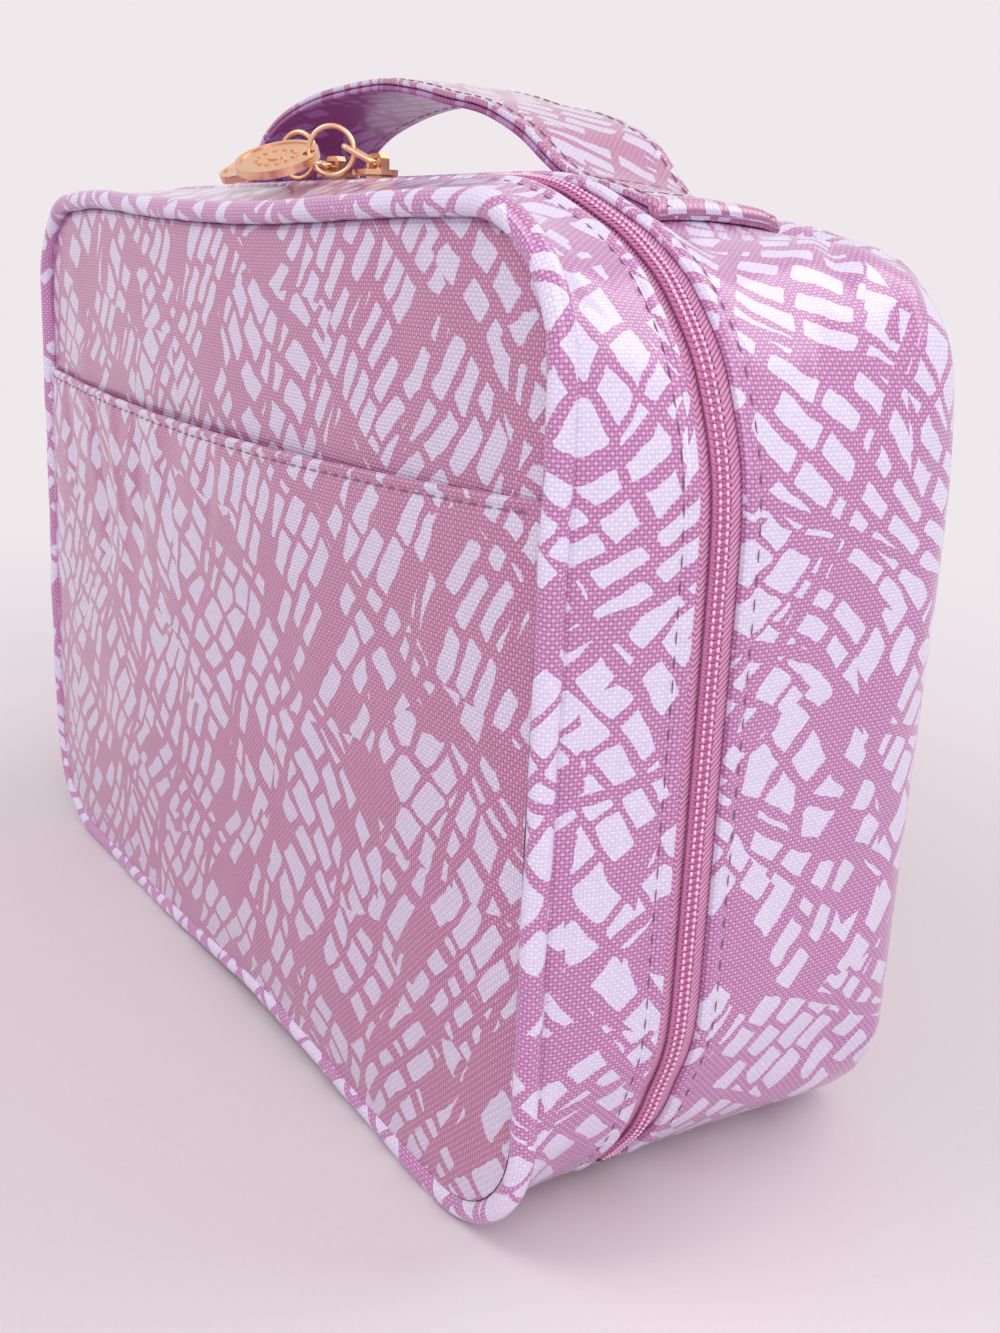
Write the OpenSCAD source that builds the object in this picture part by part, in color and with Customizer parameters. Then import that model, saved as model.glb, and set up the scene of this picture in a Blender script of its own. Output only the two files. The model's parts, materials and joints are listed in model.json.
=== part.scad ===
// Soft-sided makeup case with a zip that runs all the way round and a carrying handle.
// The case stands on its bottom: X is its width, Y its depth with the front at -Y, Z is up.
// Shells are drawn lying on their backs (x wide, y up, z towards the front) and then stood up.

/* [Case] */
// Width between the two side seams
case_w = 276; // [256:1:296]
// Height between the bottom seam and the top seam
case_h = 198; // [184:1:212]
// Depth between the front seam and the rear seam
case_d = 102; // [96:1:112]
// Radius of the rounded corners at the seams
corner_r = 28; // [25:1:34]
// How far the sides and the top bow out between the seams
bow = 8; // [5:0.5:9]
// Depth of the cover, from the front seam to the middle of the zip
cover_d = 32; // [30:1:36]

/* [Fabric] */
// Laminated outer fabric
skin_t = 1.4; // [1.2:0.1:1.6]
// Foam in the sides
foam_t = 2.9; // [2.5:0.1:3.2]
// Foam behind the front and rear panels
panel_foam_t = 3.9; // [3:0.1:4.5]
// Lining
lining_t = 0.8; // [0.6:0.1:1]
// Outside diameter of the piping
piping_d = 5.2; // [4.6:0.1:5.6]
// Filler cord inside the piping
piping_cord_d = 3; // [2.4:0.1:3.4]

/* [Front pocket] */
// Height of the pocket's hemmed top edge
pocket_top = 151; // [120:1:165]
// Depth of the hem
hem_w = 11; // [8:1:14]

/* [Zip] */
// Tape that shows on each side of the middle of the zip
tape_show = 5.5; // [5:0.1:7]
// Thickness of the tape
tape_t = 0.7; // [0.6:0.1:0.8]
// Diameter of each half of the coil
coil_d = 2.4; // [2:0.1:2.6]
// Resting place of the left slider
slider_left_x = -1; // [-4:1:0]
// Resting place of the right slider
slider_right_x = 20; // [19:1:22]
// Diameter of the round charm on each pull
charm_d = 20; // [18:0.5:20]

/* [Handle] */
// Width of the strap
handle_w = 38; // [34:1:40]
// Distance from the middle of the case to each sewn end
handle_reach = 100; // [96:1:104]
// Length of each sewn foot
foot_l = 25; // [20:1:26]
// Thickness of each of the strap's two layers
strap_t = 1.5; // [1.3:0.1:1.7]

/* [Hidden] */
$fn = 96;

fit_gap = 0.05;                       // between pieces sewn or glued together
half_d = case_d / 2;
bow_r = (half_d * half_d + bow * bow) / (2 * bow);
piping_in = 0.2;                      // the piping's middle lies this far inside the seam line
seat = piping_d / 2 - piping_in;      // height of the bottom seam, with the piping on the table
top_y = seat + case_h;
span_x = case_w - 2 * corner_r;
span_y = case_h - 2 * corner_r;
zip_z = half_d - cover_d;
chain_gap = 0.9;                      // between the two halves of the zip
far = 400;                            // larger than the case

// Depths where each shell's fold stands beside the zip, and where the seams begin
front_fold = zip_z + tape_show;
rear_fold = zip_z - tape_show;
piping_z = half_d - 0.4;
seam_z = piping_z - piping_d / 2 - fit_gap;
turn_under = 5;                       // width of the fabric turned under at each fold

// Layers, as depths below the outer surface
foam_off = skin_t + fit_gap;
lining_off = foam_off + foam_t + fit_gap;
rim_in = 0.2;                         // the lining's edge stands this far inside the fold
hem_off = skin_t + 0.7;
tape_off = hem_off + fit_gap;
coil_off = 0.9;

// Faces behind the front and rear panels, measured from the middle of the case
panel_back = half_d - skin_t;
foam_back = panel_back - fit_gap - panel_foam_t;
lining_back = foam_back - fit_gap - lining_t;
panel_inset = piping_d / 2 + piping_in + fit_gap;

// Places the four rounded corners of the outline, anticlockwise from the top right
corner_x = case_w / 2 - corner_r;
corner_points = [
  [corner_x, top_y - corner_r], [-corner_x, top_y - corner_r],
  [-corner_x, seat + corner_r], [corner_x, seat + corner_r]
];

// How far the outer surface stands out from the seam line at a depth
function bow_at(z) = sqrt(bow_r * bow_r - z * z) - bow_r + bow;

// Stands a shell drawn on its back up on the table
module stand() {
  rotate([90, 0, 0]) children();
}

// Carries a section (x outward from a corner's centre, y the depth) round the whole outline
module round_the_case() {
  for (k = [0:3]) {
    translate(concat(corner_points[k], [0])) rotate([0, 0, 90 * k]) {
      rotate_extrude(angle = 90) children();
      rotate([90, 0, 0]) linear_extrude(k % 2 == 0 ? span_y : span_x) children();
    }
  }
}

// Carries a section along the straight run of the top, from x0 to x1
module along_the_top(x0, x1) {
  translate([x0, top_y - corner_r, 0]) rotate([0, 0, 90]) rotate([90, 0, 0])
    linear_extrude(x1 - x0) children();
}

// Section of the bowed side, from the corner's centre out to a surface moved by off
module bowed_section(off, z0, z1) {
  intersection() {
    translate([0, z0]) square([corner_r + bow + 10, z1 - z0]);
    translate([corner_r + bow - bow_r, 0]) circle(r = bow_r + off, $fn = 200);
  }
}

// A layer of the side, between two surfaces
module layer_section(off_in, off_out, z0, z1) {
  difference() {
    bowed_section(off_out, z0, z1);
    bowed_section(off_in, z0 - 1, z1 + 1);
  }
}

// The solid shape of the case moved by off, flat on the bottom
module block(off, z0, z1) {
  intersection() {
    union() {
      round_the_case() bowed_section(off, z0, z1);
      translate([-span_x / 2, seat + corner_r, z0]) cube([span_x, span_y, z1 - z0]);
    }
    translate([-far / 2, -off, z0 - 1]) cube([far, far, z1 - z0 + 2]);
  }
}

// A layer that runs round the four sides
module side_layer(off_in, off_out, z0, z1) {
  difference() {
    block(off_out, z0, z1);
    block(off_in, z0 - 1, z1 + 1);
  }
}

// The outline of the seams moved in by inset
module seam_outline(inset) {
  for (p = corner_points) {
    translate(p) circle(r = corner_r - inset);
  }
  translate([-corner_x, seat + inset]) square([2 * corner_x, case_h - 2 * inset]);
  translate([inset - case_w / 2, seat + corner_r]) square([case_w - 2 * inset, span_y]);
}

module plate(inset, z0, z1) {
  translate([0, 0, z0]) linear_extrude(z1 - z0) seam_outline(inset);
}

// Keeps what lies higher than margin above the table
module above_table(margin) {
  intersection() {
    children();
    translate([-far / 2, margin, -far / 2]) cube([far, far, far]);
  }
}

/* ---- Shells ---- */

module gusset(fold, seam) {
  low = min(fold, seam);
  high = max(fold, seam);
  under = fold < seam ? fold : fold - turn_under;
  union() {
    side_layer(-skin_t, 0, low, high);
    side_layer(-hem_off, -skin_t, under, under + turn_under);
  }
}

module gusset_foam(fold, back) {
  start = fold < back ? fold + turn_under + 0.5 : back;
  end = fold < back ? back : fold - turn_under - 0.5;
  side_layer(-foam_off - foam_t, -foam_off, start, end);
}

// A tray of lining with its edge turned out to meet the zip tape
module lining(edge, floor_in, floor_out) {
  front = edge > floor_out ? 1 : -1;
  low = min(edge, floor_out);
  high = max(edge, floor_out);
  cut_low = front > 0 ? floor_in : edge - 1;
  cut_high = front > 0 ? edge + 1 : floor_in;
  rim = front > 0 ? edge - lining_t : edge;
  difference() {
    block(-lining_off, low, high);
    block(-lining_off - lining_t, cut_low, cut_high);
  }
  side_layer(-lining_off, -tape_off - tape_t - fit_gap, rim, rim + lining_t);
}

module piping_section(d) {
  translate([corner_r - piping_in, 0]) circle(d = d, $fn = 48);
}

module piping(z) {
  difference() {
    translate([0, 0, z]) round_the_case() piping_section(piping_d);
    translate([0, 0, z]) round_the_case() piping_section(piping_cord_d + 2 * fit_gap);
  }
}

module piping_cord(z) {
  translate([0, 0, z]) round_the_case() piping_section(piping_cord_d);
}

// The bound seam allowance inside each shell
binding_w = 3.4;
module seam_binding(z) {
  outer_u = corner_r - piping_in - piping_d / 2 - 1.2;
  round_the_case() translate([outer_u - binding_w, z]) square([binding_w, binding_w]);
}

/* ---- Cover ---- */

module front_panel() {
  color("pink") stand() plate(panel_inset, panel_back, half_d);
}

module front_panel_foam() {
  color("whitesmoke") stand() plate(3 * panel_inset, foam_back, panel_back - fit_gap);
}

module front_gusset() {
  color("pink") stand() gusset(front_fold, seam_z);
}

module front_gusset_foam() {
  color("whitesmoke") stand() gusset_foam(front_fold, foam_back - fit_gap);
}

module front_lining() {
  color("mistyrose") stand() lining(front_fold - rim_in, lining_back, foam_back - fit_gap);
}

module front_piping() {
  color("plum") stand() piping(piping_z);
}

module front_piping_cord() {
  color("white") stand() piping_cord(piping_z);
}

module front_seam_binding() {
  color("palevioletred") stand() seam_binding(foam_back + 0.2);
}

pocket_z = half_d + 0.5;              // the pocket's lining lies between it and the panel
module pocket_plate(z0, z1, low, high) {
  intersection() {
    plate(panel_inset, z0, z1);
    translate([-far / 2, low, z0 - 1]) cube([far, high - low, z1 - z0 + 2]);
  }
}

module front_pocket() {
  color("lightpink") stand() {
    pocket_plate(pocket_z, pocket_z + 1.2, 0, pocket_top);
    pocket_plate(half_d + fit_gap, pocket_z, pocket_top - hem_w, pocket_top);
  }
}

module front_pocket_lining() {
  color("mistyrose") stand()
    pocket_plate(half_d + fit_gap, pocket_z - fit_gap, 0, pocket_top - hem_w - fit_gap);
}

clear_pocket_size = [220, 132];
clear_pocket_low = 22;
clear_pocket_z = lining_back - fit_gap;
frame_w = 8;
module pocket_sheet(size, low, z, t) {
  translate([-size.x / 2, low, z - t]) cube([size.x, size.y, t]);
}

module clear_pocket() {
  color("aliceblue", 0.5) stand()
    pocket_sheet(clear_pocket_size, clear_pocket_low, clear_pocket_z, 0.5);
}

module clear_pocket_binding() {
  inner = clear_pocket_size - [2 * frame_w, 2 * frame_w];
  color("palevioletred") stand() difference() {
    pocket_sheet(clear_pocket_size, clear_pocket_low, clear_pocket_z - 0.55, 0.8);
    translate([0, 0, 1]) pocket_sheet(inner, clear_pocket_low + frame_w, clear_pocket_z, 4);
  }
}

/* ---- Rear shell ---- */

module rear_panel() {
  color("pink") stand() plate(panel_inset, -half_d, -panel_back);
}

module rear_panel_foam() {
  color("whitesmoke") stand() plate(3 * panel_inset, fit_gap - panel_back, -foam_back);
}

module rear_gusset() {
  color("pink") stand() gusset(rear_fold, -seam_z);
}

board_size = [2 * corner_x, 1.5];
board_low = foam_off + fit_gap;
board_front = rear_fold - turn_under - 1;
board_back = 4 - foam_back;
module board(grow) {
  translate([-board_size.x / 2 - grow, board_low - grow, board_back - grow])
    cube([board_size.x + 2 * grow, board_size.y + 2 * grow, board_front - board_back + 2 * grow]);
}

backing_t = 1;
module backing(grow) {
  inner_x = handle_reach - foot_l;
  for (x = [-handle_reach, inner_x]) {
    along_the_top(x - grow, x + foot_l + grow)
      layer_section(-foam_off - backing_t - grow, -foam_off + grow,
                    handle_back - grow, handle_front + grow);
  }
}

module rear_gusset_foam() {
  color("whitesmoke") stand() difference() {
    gusset_foam(rear_fold, fit_gap - foam_back);
    board(fit_gap);
    backing(fit_gap);
  }
}

module rear_lining() {
  color("mistyrose") stand() lining(rear_fold + rim_in, -lining_back, fit_gap - foam_back);
}

module rear_piping() {
  color("plum") stand() piping(-piping_z);
}

module rear_piping_cord() {
  color("white") stand() piping_cord(-piping_z);
}

module rear_seam_binding() {
  color("palevioletred") stand() seam_binding(-foam_back - 0.2 - binding_w);
}

module base_board() {
  color("dimgray") stand() board(0);
}

mesh_size = [230, 84];
mesh_low = 12;
mesh_t = 0.6;
mesh_z = fit_gap - lining_back;
band_w = 8;
module mesh_pocket() {
  color("palevioletred") stand()
    pocket_sheet(mesh_size, mesh_low, mesh_z + mesh_t, mesh_t);
}

module mesh_pocket_band() {
  size = [mesh_size.x, band_w];
  color("mediumvioletred") stand()
    pocket_sheet(size, mesh_low + mesh_size.y + fit_gap, mesh_z + 3 * mesh_t, 3 * mesh_t);
}

/* ---- Zip ---- */

hinge_half = corner_x + 4;            // half the length of the hinge strip under the case
// Cuts the bottom's middle out of a zip piece, where the hinge strip takes its place
module without_hinge(x) {
  difference() {
    children();
    translate([-x, -1, -far / 2]) cube([2 * x, 10, far]);
  }
}

module zip_tape(z0, z1) {
  without_hinge(hinge_half + fit_gap) side_layer(-tape_off - tape_t, -tape_off, z0, z1);
}

// Middle line of each half of the coil: its depth, and its distance from the corner's centre
coil_shift = (chain_gap + coil_d) / 2;
coil_low = 0.5;
function coil_depth(side) = zip_z + side * coil_shift;
function coil_reach(side) = corner_r + bow_at(coil_depth(side)) - coil_off;
module zip_coil(side) {
  above_table(coil_low) round_the_case()
    translate([coil_reach(side), coil_depth(side)]) circle(d = coil_d, $fn = 32);
}

// Clamps over the last turns of the coil, at both ends of the zip
stop_r = coil_d / 2 + 0.6;
stop_l = 4.5;
stop_angle = 52;                      // down from the horizontal, round the bottom corners
stop_open = 0.8;                      // half the stop's mouth, towards the other half of the chain
stop_lift = 0.3;                      // clears the tape
module stop_section(side) {
  intersection() {
    difference() {
      circle(r = stop_r, $fn = 32);
      circle(r = coil_d / 2 + fit_gap, $fn = 32);
    }
    translate([coil_off - tape_off + stop_lift, side > 0 ? -stop_open : -far])
      square([far, far + stop_open]);
  }
}

module zip_stops(side) {
  for (k = [-1, 1]) {
    translate([k * corner_x, seat + corner_r, coil_depth(side)])
      rotate([0, 0, k > 0 ? -stop_angle : 180 + stop_angle])
        translate([coil_reach(side), -stop_l / 2, 0]) rotate([90, 0, 0]) translate([0, 0, -stop_l])
          linear_extrude(stop_l) stop_section(side);
  }
}

tape_hold = tape_show + turn_under - 1.5;
module front_zip_tape() {
  color("palevioletred") stand() zip_tape(zip_z + chain_gap / 2, zip_z + tape_hold);
}

module rear_zip_tape() {
  color("palevioletred") stand() zip_tape(zip_z - tape_hold, zip_z - chain_gap / 2);
}

module front_zip_coil() {
  color("hotpink") stand() zip_coil(1);
}

module rear_zip_coil() {
  color("hotpink") stand() zip_coil(-1);
}

module front_zip_stops() {
  color("silver") stand() zip_stops(1);
}

module rear_zip_stops() {
  color("silver") stand() zip_stops(-1);
}

// Lies between the two folds, midway through the fabric
module hinge_strip() {
  color("palevioletred") stand()
    translate([-hinge_half, (skin_t - tape_t) / 2, rear_fold + fit_gap])
      cube([2 * hinge_half, tape_t, front_fold - rear_fold - 2 * fit_gap]);
}

/* ---- Handle ---- */

handle_front = 1;                     // the strap's front edge, just behind the zip
handle_back = handle_front - handle_w;
handle_mid = (handle_front + handle_back) / 2;
// The strap leans back with the surface it is sewn to
handle_lean = asin(-handle_mid / bow_r);
foot_y = top_y + bow_at(handle_mid) + (strap_t + fit_gap) / cos(handle_lean);
// The line between the strap's two layers, pushed over to the left as it hangs
strap_points = [
  [-handle_reach, 0], [-handle_reach + 6, 0], [-90, 1.2], [-87.5, 4.5], [-85.5, 8.5],
  [-80, 13.5], [-67, 18.5], [-43, 22.5], [-15, 23.3], [5, 21], [20, 18], [36, 15],
  [50, 10.2], [60, 4.8], [66, 1.8], [71, 0.4], [76, 0], [83, 0], [handle_reach, 0]
];
steps = 4;                            // smooth pieces between two points

// Point at t on the curve from b to c, with a and d on either side
function bend(a, b, c, d, t) =
  0.5 * (2 * b + (c - a) * t + (2 * a - 5 * b + 4 * c - d) * t * t
         + (3 * b - a - 3 * c + d) * t * t * t);

function smooth(p) = [
  for (i = [0:len(p) - 2])
    for (s = [0:steps - 1])
      bend(p[max(i - 1, 0)], p[i], p[i + 1], p[min(i + 2, len(p) - 1)], s / steps),
  p[len(p) - 1]
];

// The curve moved sideways by a distance
function beside(p, d) = [
  for (i = [0:len(p) - 1])
    let (v = p[min(i + 1, len(p) - 1)] - p[max(i - 1, 0)])
      p[i] + d * [-v.y, v.x] / norm(v)
];

function reversed(p) = [for (i = [len(p) - 1:-1:0]) p[i]];

strap_line = smooth(strap_points);
module strap_layer(d0, d1) {
  translate([0, foot_y, handle_mid]) rotate([-handle_lean, 0, 0])
    translate([0, 0, -handle_w / 2]) linear_extrude(handle_w)
      polygon(concat(beside(strap_line, d0), reversed(beside(strap_line, d1))));
}

module handle_under() {
  color("mediumorchid") stand() strap_layer(-strap_t, -fit_gap / 2);
}

module handle_top() {
  color("pink") stand() strap_layer(fit_gap / 2, strap_t);
}

module handle_backing() {
  color("gray") stand() backing(0);
}

/* ---- Sliders and pulls ---- */

slider_l = 11;
slider_w = 8.4;
plate_t = 1.2;
low_plate_t = 0.9;
over_coil = 0.5;                      // between the coil and the slider's top plate
over_tape = 0.85;                     // between the tape and the flange, and the lower plate
plate_low = coil_d / 2 - coil_off + over_coil;
chain_y = top_y + bow_at(zip_z);
bridge_w = 2.2;
bridge_in = 2.4;                      // half the length of the bridge's opening
bridge_leg = 1;
bridge_h = 2.6;
bridge_t = 1.1;
bar_h = plate_low + plate_t + bridge_h / 2;
wire_r = 0.7;

// Plate narrowed towards the closed chain, at +x
module slider_plate(t) {
  h = slider_l / 2;
  w = slider_w / 2;
  rotate([-90, 0, 0]) linear_extrude(t)
    polygon([[-h, -w + 1], [-h + 1, -w], [h - 4, -w], [h, -w + 2], [h, w - 2], [h - 4, w],
             [-h + 1, w], [-h, w - 1]]);
}

// A slider with its closed end towards +x or -x. Its front stays open, so that the cover's
// half of the chain can leave it
module slider(closed_end) {
  h = slider_l / 2;
  low_plate = -tape_off - tape_t - over_tape;
  leg_x = bridge_in + bridge_leg;
  wedge_t = chain_gap / 2;
  translate([0, chain_y, zip_z]) mirror([closed_end > 0 ? 0 : 1, 0, 0]) {
    translate([0, plate_low, 0]) slider_plate(plate_t);
    translate([0, low_plate - low_plate_t, 0]) slider_plate(low_plate_t);
    translate([0.5 - h, low_plate - 0.2, -wedge_t / 2])
      cube([h + 1, plate_low - low_plate + 0.4, wedge_t]);
    translate([1.5 - h, over_tape - tape_off, -slider_w / 2])
      cube([slider_l - 6, plate_low + tape_off - over_tape + 0.2, 0.8]);
    translate([0, plate_low + plate_t - 0.1, -bridge_w / 2]) linear_extrude(bridge_w) difference() {
      polygon([[-leg_x, 0], [-leg_x, bridge_h], [-bridge_in, bridge_h + bridge_t],
               [bridge_in, bridge_h + bridge_t], [leg_x, bridge_h], [leg_x, 0]]);
      translate([-bridge_in, -1]) square([2 * bridge_in, bridge_h + 1]);
    }
  }
}

// Each pull's frame: origin on the loop's bar, -x out along the pull, y up
loop_l = 8;
loop_half = 4.2;
loop_corner = 1.4;
ring_r = 5.4;
ring_wire_r = 0.6;
ring_rise = 2.6;                      // the ring's centre above the loop's bar
link = 3.9;                           // from the ring's centre to the loop's far bar
hole_angle = 15;                      // where the charm hangs on the ring
hole_in = 2.2;                        // hole's centre in from the charm's edge
charm_tilt = 8;
charm_roll = 24;                      // the charm leans to the front with the case under it
charm_t = 1.6;

module pull_frame(x, yaw) {
  translate([x, chain_y + bar_h, zip_z]) rotate([0, yaw, 0]) children();
}

module wire_corner() {
  rotate_extrude(angle = 90) translate([loop_corner, 0]) circle(r = wire_r, $fn = 24);
}

// Closed loop of wire; its first bar lies on the frame's origin, across the pull
module pull_loop(tilt) {
  long = loop_l - 2 * loop_corner;
  wide = 2 * (loop_half - loop_corner);
  rotate([0, 0, -tilt]) rotate([-90, 0, 0]) {
    for (side = [-1, 1]) {
      translate([-loop_corner - long, side * loop_half, 0]) rotate([0, 90, 0])
        cylinder(r = wire_r, h = long, $fn = 24);
      for (end = [0, 1]) {
        translate([end == 0 ? -loop_corner : -loop_l + loop_corner, side * wide / 2, 0])
          rotate([0, 0, side > 0 ? 90 * end : 270 - 90 * end]) wire_corner();
      }
    }
    for (x = [0, -loop_l]) {
      translate([x, -wide / 2, 0]) rotate([-90, 0, 0]) cylinder(r = wire_r, h = wide, $fn = 24);
    }
  }
}

function ring_centre(tilt) =
  let (up = loop_l * sin(tilt), across = sqrt(link * link - (ring_rise - up) * (ring_rise - up)))
    [-loop_l * cos(tilt) - across, ring_rise];

module jump_ring(tilt) {
  translate(concat(ring_centre(tilt), [0])) rotate_extrude()
    translate([ring_r, 0]) circle(r = ring_wire_r, $fn = 24);
}

module charm(tilt) {
  hole_r = 1.5;
  to_centre = charm_d / 2 - hole_in;
  hole_at = ring_centre(tilt) - ring_r * [cos(hole_angle), sin(hole_angle)];
  rim = 1.2;
  relief_t = 0.35;                    // the rim, the boss and the beads stand on the disc
  relief_in = 0.05;                   // and reach into it
  beads = 12;
  translate(concat(hole_at, [0])) rotate([0, 0, charm_tilt]) rotate([charm_roll - 90, 0, 0])
    difference() {
      translate([-to_centre, 0, 0]) {
        translate([0, 0, -charm_t / 2]) cylinder(d = charm_d, h = charm_t);
        translate([0, 0, charm_t / 2 - relief_in]) difference() {
          cylinder(d = charm_d, h = relief_t);
          translate([0, 0, -1]) cylinder(d = charm_d - 2 * rim, h = 3);
        }
        translate([0, 0, charm_t / 2 - relief_in]) cylinder(r = 2.2, h = relief_t);
        for (k = [0:beads - 1]) {
          rotate([0, 0, (k + 0.5) * 360 / beads]) translate([4.6, 0, charm_t / 2 - relief_in])
            cylinder(r = 0.75, h = relief_t, $fn = 24);
        }
      }
      translate([0, 0, -3]) cylinder(r = hole_r, h = 6, $fn = 32);
    }
}

yaw_left = 25;
yaw_right = 48;
tilt_left = 8;
tilt_right = 25;

module slider_left() {
  color("gold") stand() translate([slider_left_x, 0, 0]) slider(-1);
}

module slider_right() {
  color("gold") stand() translate([slider_right_x, 0, 0]) slider(1);
}

module pull_loop_left() {
  color("gold") stand() pull_frame(slider_left_x, yaw_left) pull_loop(tilt_left);
}

module pull_loop_right() {
  color("gold") stand() pull_frame(slider_right_x, yaw_right) pull_loop(tilt_right);
}

module jump_ring_left() {
  color("goldenrod") stand() pull_frame(slider_left_x, yaw_left) jump_ring(tilt_left);
}

module jump_ring_right() {
  color("goldenrod") stand() pull_frame(slider_right_x, yaw_right) jump_ring(tilt_right);
}

module charm_left() {
  color("gold") stand() pull_frame(slider_left_x, yaw_left) charm(tilt_left);
}

module charm_right() {
  color("gold") stand() pull_frame(slider_right_x, yaw_right) charm(tilt_right);
}

front_panel();
front_panel_foam();
front_gusset();
front_gusset_foam();
front_lining();
front_piping();
front_piping_cord();
front_seam_binding();
front_pocket();
front_pocket_lining();
front_zip_tape();
front_zip_coil();
front_zip_stops();
clear_pocket();
clear_pocket_binding();
rear_panel();
rear_panel_foam();
rear_gusset();
rear_gusset_foam();
rear_lining();
rear_piping();
rear_piping_cord();
rear_seam_binding();
base_board();
mesh_pocket();
mesh_pocket_band();
rear_zip_tape();
rear_zip_coil();
rear_zip_stops();
hinge_strip();
handle_top();
handle_under();
handle_backing();
slider_left();
slider_right();
pull_loop_left();
pull_loop_right();
jump_ring_left();
jump_ring_right();
charm_left();
charm_right();
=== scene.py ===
import bmesh
import bpy
import json
import math
import numpy as np
from mathutils import Matrix, Vector

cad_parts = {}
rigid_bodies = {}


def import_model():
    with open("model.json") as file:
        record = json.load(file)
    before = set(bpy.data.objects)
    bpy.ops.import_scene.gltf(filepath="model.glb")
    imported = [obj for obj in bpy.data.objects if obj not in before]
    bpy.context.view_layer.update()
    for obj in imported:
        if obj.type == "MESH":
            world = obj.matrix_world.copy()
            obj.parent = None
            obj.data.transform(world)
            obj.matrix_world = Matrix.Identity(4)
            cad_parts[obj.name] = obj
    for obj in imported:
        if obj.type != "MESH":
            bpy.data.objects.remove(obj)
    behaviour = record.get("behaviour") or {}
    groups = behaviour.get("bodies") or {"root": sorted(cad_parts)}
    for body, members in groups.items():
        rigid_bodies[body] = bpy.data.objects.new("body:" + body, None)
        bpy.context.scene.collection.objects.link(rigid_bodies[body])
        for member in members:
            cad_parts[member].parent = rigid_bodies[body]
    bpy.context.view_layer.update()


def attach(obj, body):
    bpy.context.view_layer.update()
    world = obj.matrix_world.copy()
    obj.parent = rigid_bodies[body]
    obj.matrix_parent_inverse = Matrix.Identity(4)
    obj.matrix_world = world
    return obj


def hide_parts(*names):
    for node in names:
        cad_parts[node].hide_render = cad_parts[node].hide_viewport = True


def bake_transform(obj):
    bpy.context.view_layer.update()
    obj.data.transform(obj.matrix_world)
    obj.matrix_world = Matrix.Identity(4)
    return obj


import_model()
mm = 0.001
bpy.context.scene.view_settings.view_transform = "Standard"

# The whole case is worked out in millimetres and turned into metres when a mesh is made
case = {
    "straightHalf": 110.0,      # from the middle to the corners' centres
    "cornerRadius": 28.0,
    "cornerLow": 30.4,          # heights of the corners' centres
    "cornerHigh": 172.4,
    "seamDepth": 51.0,
    "bow": 8.0,                 # how far the sides and top stand out between the seams
    "bottomBow": 1.4,
    "rearPull": 6.0,            # how far the rear seam is drawn in at the sides
    "zipY": -19.0,
    "frontFold": -23.7,
    "rearFold": -14.3,
    "middleHigh": 101.4,        # height of the panels' middle
}

# where things are on the bag

sideRun = case["cornerHigh"] - case["cornerLow"]
quarter = case["cornerRadius"] * math.pi / 2
half = case["straightHalf"]
outlineStops = np.cumsum([0, half, quarter, sideRun, quarter, 2 * half, quarter, sideRun, quarter, half])
outlineLength = outlineStops[-1]
bowRadius = (case["seamDepth"] ** 2 + case["bow"] ** 2) / (2 * case["bow"])


def outlineBase(s):
    # corner centre line (x, z), outward direction, and its angle, at a distance s round the outline
    s = np.mod(np.asarray(s, float), outlineLength)
    part = np.clip(np.searchsorted(outlineStops, s, side="right") - 1, 0, 8)
    t = s - outlineStops[part]
    low, high = case["cornerLow"], case["cornerHigh"]
    baseX = np.choose(part, [t, half, half, half, half - t, -half, -half, -half, t - half])
    baseZ = np.choose(part, [low, low, low + t, high, high, high, high - t, low, low])
    turn = t / case["cornerRadius"]
    right = math.pi / 2
    angle = np.choose(part, [-right, turn - right, 0 * t, turn, right, turn + right,
                             2 * right + 0 * t, turn + 2 * right, 3 * right])
    return baseX, baseZ, np.cos(angle), np.sin(angle)


def smooth(t):
    t = np.clip(t, 0, 1)
    return t * t * (3 - 2 * t)


def bump(x, centre, width):
    return np.exp(-((x - centre) / width) ** 2)


# soft creases on the gussets: start (along, y), end (along, y), half-width, height
gussetCreases = [
    ((338, 34), (312, 17), 2.8, -1.5),
    ((338, 31), (318, 8), 3.4, 0.5),
    ((322, 44), (303, 24), 3.0, 1.0),
    ((309, 30), (296, 22), 2.2, -1.3),
    ((310, 12), (292, 4), 3.5, -0.9),
    ((290, 45), (262, 30), 6.0, -1.2),
    ((250, 44), (222, 22), 7.0, 0.9),
    ((206, 40), (178, 12), 7.0, -0.9),
    ((318, -46), (306, -34), 2.6, -0.6),
    ((330, -47), (324, -36), 2.4, -0.5),
    ((142, 44), (158, 20), 6.0, -1.3),
    ((136, -44), (150, -33), 3.0, -0.6),
    ((568, 40), (584, 15), 5.0, -1.3),
    ((590, 46), (610, 30), 4.0, 0.9),
    ((575, -46), (586, -33), 3.0, -0.6),
]


def creaseHeight(a, b, creases):
    total = np.zeros(np.broadcast(a, b).shape)
    for (a0, b0), (a1, b1), width, height in creases:
        da, db = a1 - a0, b1 - b0
        t = np.clip(((a - a0) * da + (b - b0) * db) / (da * da + db * db), 0, 1)
        away = np.hypot(a - a0 - t * da, b - b0 - t * db)
        fade = np.sin(np.pi * np.clip(0.08 + 0.84 * t, 0, 1))
        total = total + height * fade * np.exp(-(away / width) ** 2)
    return total


def waves(a, b, scale, seed):
    # slow waves from a few sines, the same on every run
    total = np.zeros(np.broadcast(a, b).shape)
    for k in range(5):
        angle = seed + 2.4 * k
        rate = 2 * math.pi / scale * (0.7 + 0.35 * k)
        total = total + np.sin(rate * (a * math.cos(angle) + b * math.sin(angle)) + seed * 3.7 * k) / (1 + k)
    return total / 2.3


def dent(s, middle, width):
    # a rounded hollow, flatter in its middle than a bump
    return np.exp(-(np.abs(s - middle) / width) ** 2.6)


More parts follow.
